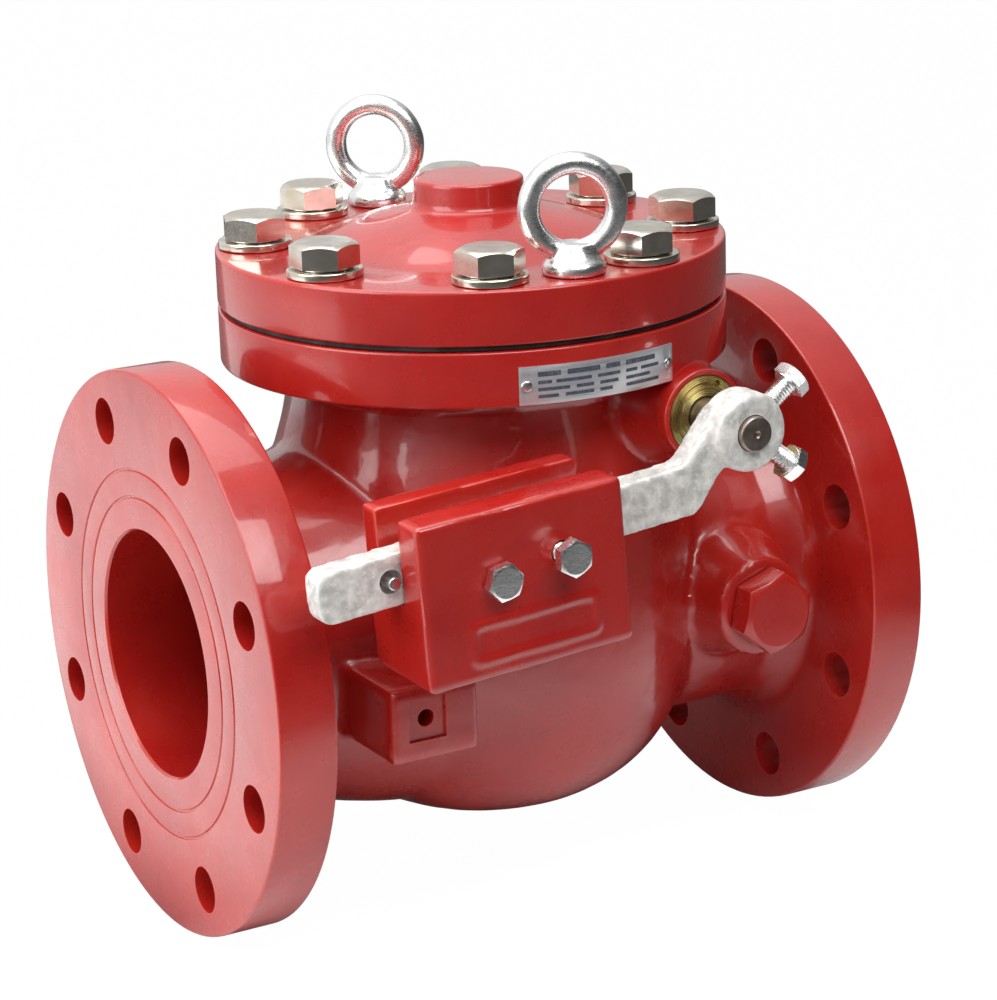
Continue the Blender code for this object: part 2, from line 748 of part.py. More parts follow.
def build_shaft_seals():
    """Bushes in both bosses, packing and gland in front, plug and its seal behind."""
    axis = (SHAFT_X, 0.0, SHAFT_Z)
    inner = SHAFT_RADIUS + GAP
    for name, along in (("front_bush", "-Y"), ("rear_bush", "Y")):
        piece(name, tube(inner, BUSH_RADIUS, BUSH_START, BUSH_END, 24), "bronze", along, axis)
    packing_low = BUSH_END + 2 * GAP
    packing_high = packing_low + PACKING_LENGTH
    packing = tube(inner, PACKING_RADIUS, packing_low, packing_high, 24)
    piece("shaft_packing", packing, "rubber", "-Y", axis)
    gland = [
        (inner, packing_high + GAP),
        (PACKING_RADIUS, packing_high + GAP),
        (PACKING_RADIUS, GLAND_SEAT),
        (GLAND_RADIUS, GLAND_SEAT),
        (GLAND_RADIUS, GLAND_END - EDGE_CHAMFER),
        (GLAND_RADIUS - EDGE_CHAMFER, GLAND_END),
        (inner, GLAND_END),
    ]
    piece("gland", turned(gland, MEDIUM, ring=True), "yellow_chromate", "-Y", axis)
    seal_high = SPOT_FACE + GAP + 0.0015
    seal = tube(PACKING_RADIUS + GAP, SEAL_RADIUS, SPOT_FACE + GAP, seal_high, 24)
    piece("end_plug_seal", seal, "gasket", "Y", axis)
    plug = bolt_mesh(PACKING_RADIUS, END_PLUG_FLATS, END_PLUG_HEAD, 0.0835, seal_high + GAP)
    piece("shaft_end_plug", plug, "zinc", "Y", axis)


def key_spans():
    """Each key's stretch along the shaft, as (low y, high y)."""
    return {"arm_key": (-0.014, 0.014), "lever_key": (HUB_FRONT + KEY_COVER, HUB_REAR - 0.0005)}


def keyway(name, owner, span):
    """The slot for a key, along the top of the shaft's bore."""
    low, high = span
    half = KEY_SIZE / 2 + GAP
    floor = SHAFT_RADIUS - KEY_SIZE / 2 - GAP
    roof = SHAFT_RADIUS + KEY_SIZE / 2 + GAP
    return shape(name, box((-half, low - GAP, floor), (half, high + GAP, roof)), parent=owner)


def build_shaft(joint):
    """The shaft and its two keys. Everything here turns about the joint's Y axis."""
    bar = rod(SHAFT_RADIUS, SHAFT_FRONT, SHAFT_REAR, 24, EDGE_CHAMFER)
    shaft = piece("shaft", bar, "bright_steel", "Y", parent=joint)
    half = KEY_SIZE / 2
    for name, (low, high) in key_spans().items():
        cut(shaft, keyway(name + "_slot", joint, (low, high)))
        mesh = box((-half, low, SHAFT_RADIUS - half), (half, high, SHAFT_RADIUS + half))
        piece(name, mesh, "bright_steel", parent=joint)


def build_arm(joint):
    """The arm that carries the disc: a hub on the shaft, a plate, and a boss for the disc's stem."""
    hub_mesh = rod(ARM_HUB_RADIUS, -ARM_HUB_HALF_WIDTH, ARM_HUB_HALF_WIDTH, 28)
    arm = piece("disc_arm", hub_mesh, "bronze", "Y", parent=joint)
    back = ARM_BACK_X - SHAFT_X
    front = ARM_FRONT_X - SHAFT_X
    outline = [
        (-0.013, -SHAFT_Z),
        (0.013, -SHAFT_Z),
        (0.018, -0.004),
        (0.012, 0.006),
        (-0.012, 0.006),
        (-0.018, -0.004),
    ]
    plate = shape("arm_plate", prism([(-z, y) for y, z in outline], back, front - 0.001), "X", parent=joint)
    boss_mesh = rod(ARM_BOSS_RADIUS, back, front, 28, 0.0008)
    boss = shape("arm_boss", boss_mesh, "X", (0.0, 0.0, -SHAFT_Z), joint)
    join(arm, plate, boss)
    bore = rod(SHAFT_RADIUS + GAP, -0.03, 0.03, 24)
    stem_hole = rod(STEM_RADIUS + GAP, back - 0.01, front + 0.01, 24)
    cut(
        arm,
        shape("arm_bore", bore, "Y", parent=joint),
        shape("arm_stem_hole", stem_hole, "X", (0.0, 0.0, -SHAFT_Z), joint),
        keyway("arm_key_way", joint, (-0.03, 0.03)),
    )


def build_disc(joint):
    """The disc on its stem, its rubber facing and plate, and the nut that holds it to the arm."""
    disc_mesh = turned(
        [
            (0.0, STEM_TIP_X),
            (STEM_RADIUS - EDGE_CHAMFER, STEM_TIP_X),
            (STEM_RADIUS, STEM_TIP_X + EDGE_CHAMFER),
            (STEM_RADIUS, ARM_FRONT_X + GAP),
            (0.014, ARM_FRONT_X + GAP),
            (0.014, DISC_BACK_X),
            (DISC_RADIUS - 0.004, DISC_BACK_X),
            (DISC_RADIUS, DISC_BACK_X + 0.004),
            (DISC_RADIUS, DISC_FRONT_X),
            (FACING_INNER_RADIUS - GAP, DISC_FRONT_X),
            (FACING_INNER_RADIUS - GAP, DISC_FRONT_X + FACING_THICKNESS),
            (0.0, DISC_FRONT_X + FACING_THICKNESS),
        ],
        36,
    )
    disc = piece("disc", disc_mesh, "bronze", "X", parent=joint)
    screw_seat = DISC_FRONT_X + FACING_THICKNESS + 2 * GAP + FACING_PLATE_THICKNESS
    screw_hole = shape("facing_screw_hole", rod(SCREW_HOLE_RADIUS, 0.043, 0.070, 16), "X", parent=joint)
    pin_x = STEM_TIP_X + 0.0045
    pin_way = rod(SPLIT_PIN_RADIUS + GAP, -0.02, 0.02, 12)
    pin_hole = shape("split_pin_hole", pin_way, "Y", (pin_x, 0.0, 0.0), joint)
    cut(disc, screw_hole, pin_hole)
    low = DISC_FRONT_X + GAP
    facing = tube(FACING_INNER_RADIUS, DISC_RADIUS - GAP, low, low + FACING_THICKNESS - GAP, 36)
    piece("disc_facing", facing, "rubber", "X", parent=joint)
    low = DISC_FRONT_X + FACING_THICKNESS + GAP
    plate = tube(SCREW_HOLE_RADIUS, FACING_PLATE_RADIUS, low, low + FACING_PLATE_THICKNESS, 32)
    piece("facing_plate", plate, "bronze", "X", parent=joint)
    screw = bolt_mesh(0.005, 0.016, 0.006, -0.0135, 0.0)
    piece("facing_screw", screw, "bright_steel", "X", (screw_seat, 0.0, 0.0), joint)
    washer_high = ARM_BACK_X - GAP
    washer_low = washer_high - WASHER_THICKNESS
    washer = tube(STEM_RADIUS + GAP, WASHER_RADIUS, washer_low, washer_high, 24)
    piece("disc_washer", washer, "bright_steel", "X", parent=joint)
    nut_high = washer_low - GAP
    nut = piece("disc_nut", hexagon(NUT_FLATS, nut_high - NUT_HEIGHT, nut_high), "bronze", "X", parent=joint)
    cut(nut, shape("nut_thread", rod(STEM_RADIUS + GAP, -0.01, 0.03, 24), "X", parent=joint))
    pin = rod(SPLIT_PIN_RADIUS, -SPLIT_PIN_HALF_LENGTH, SPLIT_PIN_HALF_LENGTH, 12)
    split_pin = piece("split_pin", pin, "bright_steel", "Y", (pin_x, 0.0, 0.0), joint)
    eye = turned(arc((SPLIT_PIN_EYE_RADIUS, 0.0), 0.0012, 0, 300, 5), 14, ring=True)
    loop = shape("split_pin_eye", eye, "X", (0.0, 0.0, SPLIT_PIN_EYE_REACH), split_pin)
    join(split_pin, loop)


def lever_outline():
    """The lever's side view in (along, up), counter-clockwise from the tip's lower corner."""
    low = -LEVER_DROP - LEVER_HEIGHT / 2
    high = -LEVER_DROP + LEVER_HEIGHT / 2
    corner = LEVER_CORNER
    return [
        *arc((LEVER_TIP + corner, low + corner), corner, 270, 180, 3),
        *arc((LEVER_TIP + corner, high - corner), corner, 180, 90, 3),
        (LEVER_BEND - 0.0043, high),
        (LEVER_BEND, high + 0.0012),
        (-0.0138, 0.0077),
        (-0.0110, 0.0105),
        (0.0, 0.0130),
        (0.0120, -0.0080),
        (-0.0095, -0.0118),
        (-0.0125, -0.0135),
        (LEVER_HEEL + 0.0058, -0.0241),
        (LEVER_HEEL + 0.0037, low + 0.0011),
        (LEVER_HEEL, low),
    ]


def build_lever(joint):
    """The cranked lever with its hub, in a frame tilted as the bar lies at rest."""
    outline = [(u, -w) for u, w in lever_outline()]
    mesh = prism(outline, LEVER_FRONT, LEVER_FRONT + LEVER_THICKNESS)
    lever = piece("lever", mesh, "galvanised", "Y", parent=joint)
    hub_mesh = rod(HUB_RADIUS, HUB_FRONT, HUB_REAR, 36, 0.0015)
    hub = shape("lever_hub", hub_mesh, "Y", parent=joint)
    bore_mesh = rod(SHAFT_RADIUS + GAP, HUB_FRONT - 0.01, HUB_REAR + 0.01, 24)
    bore = shape("lever_bore", bore_mesh, "Y", parent=joint)
    pin_hole_mesh = rod(STOP_PIN_RADIUS + GAP, LEVER_FRONT - 0.01, LEVER_FRONT + 0.03, 16)
    pin_hole = shape("stop_pin_hole", pin_hole_mesh, "Y", (STOP_PIN_U, 0.0, -LEVER_DROP), joint)
    counterbore_mesh = rod(STOP_HOLE_RADIUS, LEVER_FRONT - 0.01, LEVER_FRONT + STOP_HOLE_DEPTH, 20)
    counterbore = shape("stop_pin_counterbore", counterbore_mesh, "Y", (STOP_PIN_U, 0.0, -LEVER_DROP), joint)
    join(lever, hub)
    key_slot = keyway("lever_key_way", joint.parent, (HUB_FRONT + KEY_COVER, HUB_REAR + 0.01))
    cut(lever, bore, pin_hole, counterbore, key_slot)
    for name, angle in HUB_SCREW_ANGLES.items():
        turn = math.radians(angle)
        outward = Vector((math.cos(turn), 0.0, math.sin(turn))).to_track_quat("Z", "Y").to_euler()
        hole = shape(name + "_hole", rod(0.0043, 0.006, 0.03, 14), at=(0.0, HUB_SCREW_Y, 0.0), parent=joint)
        hole.rotation_euler = outward
        cut(lever, hole)
        mesh = bolt_mesh(0.004, 0.013, 0.0055, SHAFT_RADIUS + GAP, HUB_SCREW_SEAT)
        screw = piece(name, mesh, "zinc", at=(0.0, HUB_SCREW_Y, 0.0), parent=joint)
        screw.rotation_euler = outward
    pin_front = LEVER_FRONT - STOP_PIN_STAND
    pin = rod(STOP_PIN_RADIUS, pin_front, LEVER_FRONT + LEVER_THICKNESS + 0.003, 14, 0.0006)
    piece("stop_pin", pin, "bright_steel", "Y", (STOP_PIN_U, 0.0, -LEVER_DROP), joint)


def build_weight(joint):
    """The slotted counterweight that straddles the bar, and the two bolts that clamp it."""
    turned_frame = empty("counterweight_frame", (WEIGHT_U, 0.0, WEIGHT_W), WEIGHT_TURN, joint)
    low = (-WEIGHT_HALF_LENGTH, WEIGHT_FRONT, -WEIGHT_HALF_HEIGHT)
    high = (WEIGHT_HALF_LENGTH, WEIGHT_REAR, WEIGHT_HALF_HEIGHT)
    weight = piece("counterweight", box(low, high), "red_enamel", parent=turned_frame)
    rounding = weight.modifiers.new("rounded_edges", "BEVEL")
    rounding.width = 0.0012
    rounding.segments = 1
    slot_floor = -LEVER_DROP - LEVER_HEIGHT / 2 - 2 * GAP
    slot_low = (WEIGHT_U - WEIGHT_HALF_LENGTH - 0.01, SLOT_FRONT, slot_floor)
    slot_high = (WEIGHT_U + WEIGHT_HALF_LENGTH + 0.01, SLOT_REAR, 0.02)
    slot_mesh = box(slot_low, slot_high)
    cut(weight, shape("weight_slot", slot_mesh, parent=joint))
    for name, (u, w, stand) in WEIGHT_BOLTS.items():
        seat = -WEIGHT_FRONT + GAP + stand
        tip = -LEVER_FRONT + GAP
        spot = (u, 0.0, w)
        hole_mesh = rod(0.0043, tip - 0.003, -WEIGHT_FRONT + 0.01, 14)
        cut(weight, shape(name + "_hole", hole_mesh, "-Y", spot, joint))
        piece(name, bolt_mesh(0.004, 0.013, 0.0055, tip, seat), "zinc", "-Y", spot, joint)


def build():
    clear_scene()
    build_body()
    build_nameplate()
    build_cover()
    build_cover_bolts()
    build_eyebolts()
    build_seat_ring()
    build_side_plug()
    build_shaft_seals()
    shaft_axis = empty("shaft_axis", (SHAFT_X, 0.0, SHAFT_Z))
    build_shaft(shaft_axis)
    build_arm(shaft_axis)
    build_disc(empty("disc_axis", (-SHAFT_X, 0.0, -SHAFT_Z), parent=shaft_axis))
    lever_frame = empty("lever_frame", (0.0, 0.0, 0.0), LEVER_TILT, shaft_axis)
    build_lever(lever_frame)
    build_weight(empty("weight_frame", (0.0, 0.0, 0.0), 0.0, lever_frame))


build()
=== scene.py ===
"""The looks of a flanged swing check valve with an outside lever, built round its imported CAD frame.

+X is the pipe axis towards the inlet, +Z is up and the lever is on the -Y side. All sizes are in metres.
"""

import json
import math

import bmesh
import bpy
from mathutils import Matrix, Vector, noise

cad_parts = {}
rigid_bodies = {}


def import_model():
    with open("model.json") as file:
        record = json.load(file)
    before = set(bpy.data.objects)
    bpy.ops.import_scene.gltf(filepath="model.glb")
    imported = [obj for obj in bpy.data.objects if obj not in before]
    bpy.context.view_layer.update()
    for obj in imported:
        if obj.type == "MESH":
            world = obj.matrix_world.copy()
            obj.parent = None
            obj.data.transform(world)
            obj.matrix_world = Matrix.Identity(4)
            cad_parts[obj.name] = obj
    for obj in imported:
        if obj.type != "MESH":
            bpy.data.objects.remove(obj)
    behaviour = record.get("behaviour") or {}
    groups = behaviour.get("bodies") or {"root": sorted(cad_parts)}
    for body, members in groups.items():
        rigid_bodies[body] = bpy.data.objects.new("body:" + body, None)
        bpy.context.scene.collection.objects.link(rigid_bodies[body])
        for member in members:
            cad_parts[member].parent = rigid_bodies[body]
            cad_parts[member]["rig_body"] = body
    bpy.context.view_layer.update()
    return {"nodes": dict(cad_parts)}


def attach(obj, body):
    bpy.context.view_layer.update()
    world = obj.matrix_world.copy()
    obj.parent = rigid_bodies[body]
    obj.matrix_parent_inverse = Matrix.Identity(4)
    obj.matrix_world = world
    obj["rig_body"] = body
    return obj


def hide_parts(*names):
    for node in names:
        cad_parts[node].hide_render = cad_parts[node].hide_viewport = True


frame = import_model()

GAP = 0.0003
MERGE = 0.000004
SHARP_ANGLE = math.radians(32.0)

# The body casting, as in the CAD frame.
END_X = 0.146
FLANGE_RADIUS = 0.1145
FLANGE_BACK_X = END_X - 0.0239
FLANGE_HOLE_CIRCLE = 0.09525
FLANGE_HOLE_RADIUS = 0.0095
GROOVES = (0.0745, 0.0635)
BORE_RADIUS = 0.050
NECK_X = 0.003
NECK_RADIUS = 0.0775
NECK_INNER_RADIUS = 0.068
BOWL_RADIUS = 0.0905
BOWL_BOTTOM = -0.0886
BOWL_MIDDLE = 0.010
BOWL_SQUARENESS = 2.6
WALL = 0.0115
PIPE_RADIUS = 0.066
SHOULDER_RADIUS = 0.0785
SHOULDER_INNER_RADIUS = 0.0665
SHOULDER_START = -0.116
SHOULDER_END = -0.048
SEAT_FACE_X = 0.060
SEAT_RECESS_RADIUS = 0.060
SEAT_BACK_X = 0.068
BULKHEAD_TOP = 0.066
BONNET_RADIUS = 0.1035
BONNET_BOTTOM = 0.1045
BONNET_TOP = 0.1264
SHAFT_X = 0.0475
SHAFT_Z = 0.0908
BOSS_RADIUS = 0.0203
BOSS_END = 0.0965
RING_RADIUS = 0.0180
RING_END = 0.1040
GLAND_RADIUS = 0.0157
GLAND_SEAT = 0.1000
GLAND_END = 0.1046
SPOT_FACE = 0.096
SPOT_FACE_RADIUS = 0.0188
BUSH_RADIUS = 0.012
BUSH_END = 0.080
PACKING_RADIUS = 0.015
PLUG_X = 0.086
PLUG_BOSS_RADIUS = 0.0205
PLUG_BOSS_END = 0.0875
PLUG_RADIUS = 0.0105
PAD_LOW = Vector((-0.0965, -0.1080, -0.0245))
PAD_HIGH = Vector((-0.0585, -0.0400, 0.0055))
PAD_HOLE = Vector((-0.0812, -0.1080, -0.0075))
PAD_HOLE_RADIUS = 0.0035
PAD_RECESS = Vector((0.008, 0.0015, 0.0085))
PLATE_ANGLES = (-109.5, -71.5)
PLATE_BOTTOM = 0.1054
PLATE_HEIGHT = 0.0148
PLATE_THICKNESS = 0.0008
RIVET_ANGLES = {"rivet_left": -107.9, "rivet_right": -73.1}
RIVET_HOLE_RADIUS = 0.0015
# The printed rows of the nameplate: height, tallness and runs of (start, length) in degrees.
PRINT = (
    (0.0117, 0.0019, ((4.0, 5.0), (10.5, 7.5), (19.5, 3.5), (24.5, 8.0))),
    (0.0085, 0.0013, ((4.0, 3.0), (8.0, 8.0), (17.5, 5.5), (24.5, 3.0), (28.5, 5.0))),
    (0.0057, 0.0013, ((4.0, 7.0), (12.5, 4.0), (18.0, 4.5), (24.5, 6.5))),
    (0.0030, 0.0013, ((4.0, 4.5), (10.0, 6.5), (18.0, 3.0), (24.5, 9.0))),
)

# The cover and what is on it.
COVER_BOTTOM = 0.1288
COVER_TOP = 0.1503
COVER_BOSS_RADIUS = 0.0222
COVER_BOSS_TOP = 0.1752
COVER_BOLT_CIRCLE = 0.087
COVER_BOLT_RADIUS = 0.008
COVER_BOLT_ANGLES = [21.0 + 45.0 * i for i in range(8)]
COVER_BOLTS = (COVER_BOLT_CIRCLE, COVER_BOLT_ANGLES)
COVER_BOLT_TIP = 0.1115
COVER_BOLT_HOLE = COVER_BOLT_RADIUS + 0.0005
GASKET_THICKNESS = 0.0018
WASHER_RADIUS = 0.015
WASHER_THICKNESS = 0.003
EYE_CIRCLE = 0.086
EYES = {"eyebolt_front": (-91.5, -19.0), "eyebolt_rear": (88.5, -41.0)}
EYE_RING_HEIGHT = 0.0255
EYE_RING_RADIUS = 0.01715
EYE_BAR_RADIUS = 0.0044
M10_HOLE = 0.0053
TIP_CHAMFER = 0.0007
THREAD_DEPTH = 0.45
HEAD_SLOPE = math.radians(28)

# The shaft, its bushes, seals and keys.
BUSH_START = 0.051
PACKING_LENGTH = 0.005
SEAL_RADIUS = 0.0175
SEAL_THICKNESS = 0.0015
PLUG_FLATS = 0.030
KEY_HALF = 0.0025

# The arm and the disc, along the pipe axis.
ARM_FACE_X = 0.022
ARM_REAR_X = 0.037
ARM_BOSS_X = 0.038
STEM_HOLE = 0.0083
PIN_X = 0.0035
SEAT_LIP_X = 0.056
DISC_RADIUS = 0.058
FACING_RADIUS = 0.0577
FACING_INNER = 0.030
FACING_PLATE_RADIUS = 0.046
FACING_PLATE_THICKNESS = 0.003

# The shaft's ends, the lever and the counterweight.
SHAFT_RADIUS = 0.007
SHAFT_FRONT = -0.1410
SHAFT_REAR = 0.079
LEVER_TILT = 5.5
LEVER_FRONT = -0.1330
LEVER_THICKNESS = 0.0115
LEVER_LOW = -0.0275
LEVER_HIGH = -0.0073
LEVER_MIDDLE = -0.0174
LEVER_TIP = -0.1862
HUB_RADIUS = 0.0156
HUB_FRONT = -0.1385
HUB_REAR = -0.1230
HUB_SCREW_Y = -0.1310
M8 = {"radius": 0.004, "flats": 0.013, "head": 0.0055, "pitch": 0.00125}
M8_HOLE = 0.0043
HUB_SCREWS = {"hub_screw_upper": 30.0, "hub_screw_lower": -43.0}
HUB_SCREW_SEAT = 0.0252
KEY_COVER = 0.0035
STOP_PIN_U = -0.1570
STOP_PIN_RADIUS = 0.0025
STOP_PIN_STAND = 0.0035
STOP_HOLE_RADIUS = 0.0047
STOP_HOLE_DEPTH = 0.0050
WEIGHT_U = -0.1101
WEIGHT_W = -0.0278
WEIGHT_TURN = -1.7
WEIGHT_HALF = (0.0433, 0.0320)
WEIGHT_FRONT = -0.1495
WEIGHT_REAR = -0.1056
BORDER_MIDDLE = (0.0020, -0.0172)
BORDER_HALF = (0.0272, 0.0080)
BORDER_WIDTH = 0.0021
BORDER_RELIEF = 0.0009
# How deep a machined face is skimmed from a casting.
SKIM = 0.0001
SLOT_FRONT = -0.1335
SLOT_REAR = -0.1170
SLOT_FLOOR = LEVER_LOW - 2 * GAP
WEIGHT_BOLT_HOLE = 0.0047
WEIGHT_BOLTS = {"weight_bolt_left": (-0.1212, -0.0222, 0.0), "weight_bolt_right": (-0.0943, -0.0190, 0.005)}

# The camera and the floor.
CAMERA_SPOT = (-0.59955, -1.10101, 0.40729)
CAMERA_ANGLES = (-29.067, 16.384, -1.753)
CAMERA_LENS = 113.2
FLOOR_RADIUS = 6.0

# The lights (place, size and power), and the side on which the sky is bright.
LIGHTS = {
    "left": ((-1.30, -0.05, 0.75), (1.0, 1.1), 12.5),
    "high_front": ((-0.05, -1.25, 1.55), (1.5, 0.9), 25.0),
    "top": ((-0.1, 0.30, 1.35), (1.2, 1.1), 10.0),
}
LIGHT_TARGET = Vector((0.0, 0.0, 0.03))
BRIGHT_SIDE = Vector((-0.50, 0.55, 0.62))

# The material slots of the two castings.
CAST, MACHINED = 0, 1


def shift(x=0.0, y=0.0, z=0.0):
    return Matrix.Translation((x, y, z))


def spun(angle, axis="Z"):
    """A turn about an axis, in degrees."""
    return Matrix.Rotation(math.radians(angle), 4, axis)


def aimed(turn):
    """Lays a piece modelled along Z along the turned X axis."""
    outward = turn @ Vector((1.0, 0.0, 0.0))
    return outward.to_track_quat("Z", "Y").to_matrix().to_4x4()


def on_circle(circle, angle):
    return Matrix.Translation(spun(angle) @ Vector((circle, 0.0, 0.0)))


# Placing matrices. The ALONG ones lay a piece modelled about its own Z.
ALONG_X = spun(90, "Y")
ALONG_Y = spun(-90, "X")
ALONG_MINUS_Y = spun(90, "X")
NECK = shift(NECK_X)
PLUG = shift(PLUG_X)
SHAFT = shift(SHAFT_X, 0.0, SHAFT_Z)
LEVER = SHAFT @ spun(-LEVER_TILT, "Y")
WEIGHT = shift(WEIGHT_U, 0.0, WEIGHT_W) @ spun(-WEIGHT_TURN, "Y")


# ---- mesh tools


def linked(name, data):
    """A new object in the scene."""
    made = bpy.data.objects.new(name, data)
    bpy.context.scene.collection.objects.link(made)
    return made


def finished(work, slot=0):
    """The bmesh as a mesh with merged doubles, outward faces and one material slot."""
    bmesh.ops.remove_doubles(work, verts=work.verts, dist=MERGE)
    bmesh.ops.recalc_face_normals(work, faces=work.faces)
    for face in work.faces:
        face.material_index = slot
    mesh = bpy.data.meshes.new("shape")
    work.to_mesh(mesh)
    work.free()
    return mesh


def rounded(corners, closed=False, steps=4):
    """A line of points through the corners; a corner (a, b, size) is rounded over that size."""
    line = []
    count = len(corners)
    for i, corner in enumerate(corners):
        here = Vector(corner[:2])
        size = corner[2] if len(corner) > 2 else 0.0
        if not size or (not closed and i in (0, count - 1)):
            line.append(tuple(here))
            continue
        back = Vector(corners[i - 1][:2]) - here
        on = Vector(corners[(i + 1) % count][:2]) - here
        start = here + back.normalized() * min(size, back.length * 0.48)
        end = here + on.normalized() * min(size, on.length * 0.48)
        for k in range(steps + 1):
            t = k / steps
            line.append(tuple(start * (1 - t) ** 2 + here * 2 * t * (1 - t) + end * t * t))
    return line


def turned(profile, segments=96, ring=False, slot=0):
    """A turned solid about Z from (radius, height) corners to round; a ring's profile is a closed loop."""
    work = bmesh.new()
    points = [work.verts.new((radius, 0.0, height)) for radius, height in rounded(profile, ring)]
    pairs = list(zip(points, points[1:]))
    if ring:
        pairs.append((points[-1], points[0]))
    edges = [work.edges.new(pair) for pair in pairs]
    bmesh.ops.spin(
        work, geom=points + edges, cent=(0, 0, 0), axis=(0, 0, 1), angle=2 * math.pi, steps=segments
    )
    return finished(work, slot)


def rod(radius, low, high, segments=32, slot=MACHINED):
    return turned([(0.0, low), (radius, low), (radius, high), (0.0, high)], segments, slot=slot)


def washer(inner, outer, low, high, segments, sizes=(0.0, 0.0, 0.0, 0.0)):
    """A flat ring about Z. The sizes round its corners, from the inner low one outwards and round."""
    corners = ((inner, low), (outer, low), (outer, high), (inner, high))
    return turned([(*corner, size) for corner, size in zip(corners, sizes)], segments, ring=True)


def prism(outline, low, high, slot=0):
    """A solid with a flat outline of (x, y) points, from height low to high."""
    work = bmesh.new()
    face = work.faces.new([work.verts.new((x, y, low)) for x, y in outline])
    grown = bmesh.ops.extrude_face_region(work, geom=[face])
    top = [part for part in grown["geom"] if isinstance(part, bmesh.types.BMVert)]
    bmesh.ops.translate(work, verts=top, vec=(0.0, 0.0, high - low))
    return finished(work, slot)


def block(low, high, slot=0, bevel=0.0, segments=3):
    """A block between two opposite corners, with rounded edges if asked."""
    low, high = Vector(low), Vector(high)
    work = bmesh.new()
    bmesh.ops.create_cube(work, size=1.0)
    bmesh.ops.scale(work, verts=work.verts, vec=high - low)
    bmesh.ops.translate(work, verts=work.verts, vec=(high + low) / 2)
    if bevel:
        bmesh.ops.bevel(
            work, geom=work.edges[:], offset=bevel, segments=segments, profile=0.5, affect="EDGES"
        )
    return finished(work, slot)


def arc(centre, radius, start, end, steps):
    angles = [math.radians(start + (end - start) * i / steps) for i in range(steps + 1)]
    return [(centre[0] + radius * math.cos(a), centre[1] + radius * math.sin(a)) for a in angles]


def rods_on_circle(radius, low, high, circle, angles):
    """One mesh of equal round bars about Z, set out on a circle."""
    work = bmesh.new()
    for angle in angles:
        place = spun(angle) @ shift(circle, 0.0, (low + high) / 2)
        bmesh.ops.create_cone(
            work, cap_ends=True, segments=32, radius1=radius, radius2=radius, depth=high - low, matrix=place
        )
    return finished(work, MACHINED)


def placed(mesh, *matrices):
    """The mesh moved by the matrices, the last one first."""
    for matrix in reversed(matrices):
        mesh.transform(matrix)
    return mesh


def evaluated(mesh, *modifiers):
    """The mesh after (type, settings) modifiers; a mesh in the settings becomes an object."""
    made = []

    def wrap(data):
        made.append(linked("work", data))
        return made[-1]

    base = wrap(mesh)
    for kind, settings in modifiers:
        modifier = base.modifiers.new(kind, kind)
        for key, value in settings.items():
            if isinstance(value, bpy.types.Mesh):
                value = wrap(value)
            setattr(modifier, key, value)
    bpy.context.view_layer.update()
    graph = bpy.context.evaluated_depsgraph_get()
    result = bpy.data.meshes.new_from_object(base.evaluated_get(graph), depsgraph=graph)
    for thing in made:
        bpy.data.objects.remove(thing)
    return result


def boolean(mesh, operation, *tools):
    """The mesh with the tools joined to it or cut from it."""
    for tool in tools:
        for part in (mesh, tool):
            while len(part.materials) < 2:
                part.materials.append(None)
        settings = {"operation": operation, "solver": "MANIFOLD", "material_mode": "INDEX", "object": tool}
        mesh = evaluated(mesh, ("BOOLEAN", settings))
    return mesh


def join(mesh, *tools):
    return boolean(mesh, "UNION", *tools)


def cut(mesh, *tools):
    return boolean(mesh, "DIFFERENCE", *tools)


def cast(mesh, voxel, smoothing):
    """The mesh as one even skin with soft edges and filled corners, as a sand casting has."""
    return evaluated(
        mesh,
        ("REMESH", {"mode": "VOXEL", "voxel_size": voxel}),
        ("SMOOTH", {"factor": 0.5, "iterations": smoothing}),
    )


def ripple(mesh, amount, scale):
    """Moves the skin in and out a little, as a casting's skin wanders."""
    normals = [vertex.normal.copy() for vertex in mesh.vertices]
    for vertex, normal in zip(mesh.vertices, normals):
        vertex.co += normal * amount * noise.noise(vertex.co * scale)
    return mesh


def bowl_curve(radius, bottom, steps):
    """The lower half of the bowl, a squared ellipse from its lowest point up to its widest."""
    power = 2 / BOWL_SQUARENESS
    depth = BOWL_MIDDLE - bottom
    turns = [math.pi / 2 * (1 - i / steps) for i in range(steps + 1)]
    return [
        (radius * math.cos(t) ** power if i else 0.0, BOWL_MIDDLE - depth * math.sin(t) ** power)
        for i, t in enumerate(turns)
    ]


def shoulder_curve(narrow, wide, start, end, steps):
    """A smooth S from the pipe end's radius to the bowl's, as (radius, x)."""
    return [
        (narrow + (wide - narrow) * t * t * (3 - 2 * t), start + (end - start) * t)
        for t in (i / steps for i in range(steps + 1))
    ]


# ---- materials


class Tree:
    """A node tree, with a short way to add linked nodes."""

    def __init__(self, tree):
        self.tree = tree

    def node(self, kind, links=None, **settings):
        made = self.tree.nodes.new("ShaderNode" + kind)
        for key, value in settings.items():
            setattr(made, key, value)
        for key, value in (links or {}).items():
            self.feed(made.inputs[key], value)
        return made

    def feed(self, socket, value):
        if isinstance(value, bpy.types.NodeSocket):
            self.tree.links.new(value, socket)
        else:
            socket.default_value = value


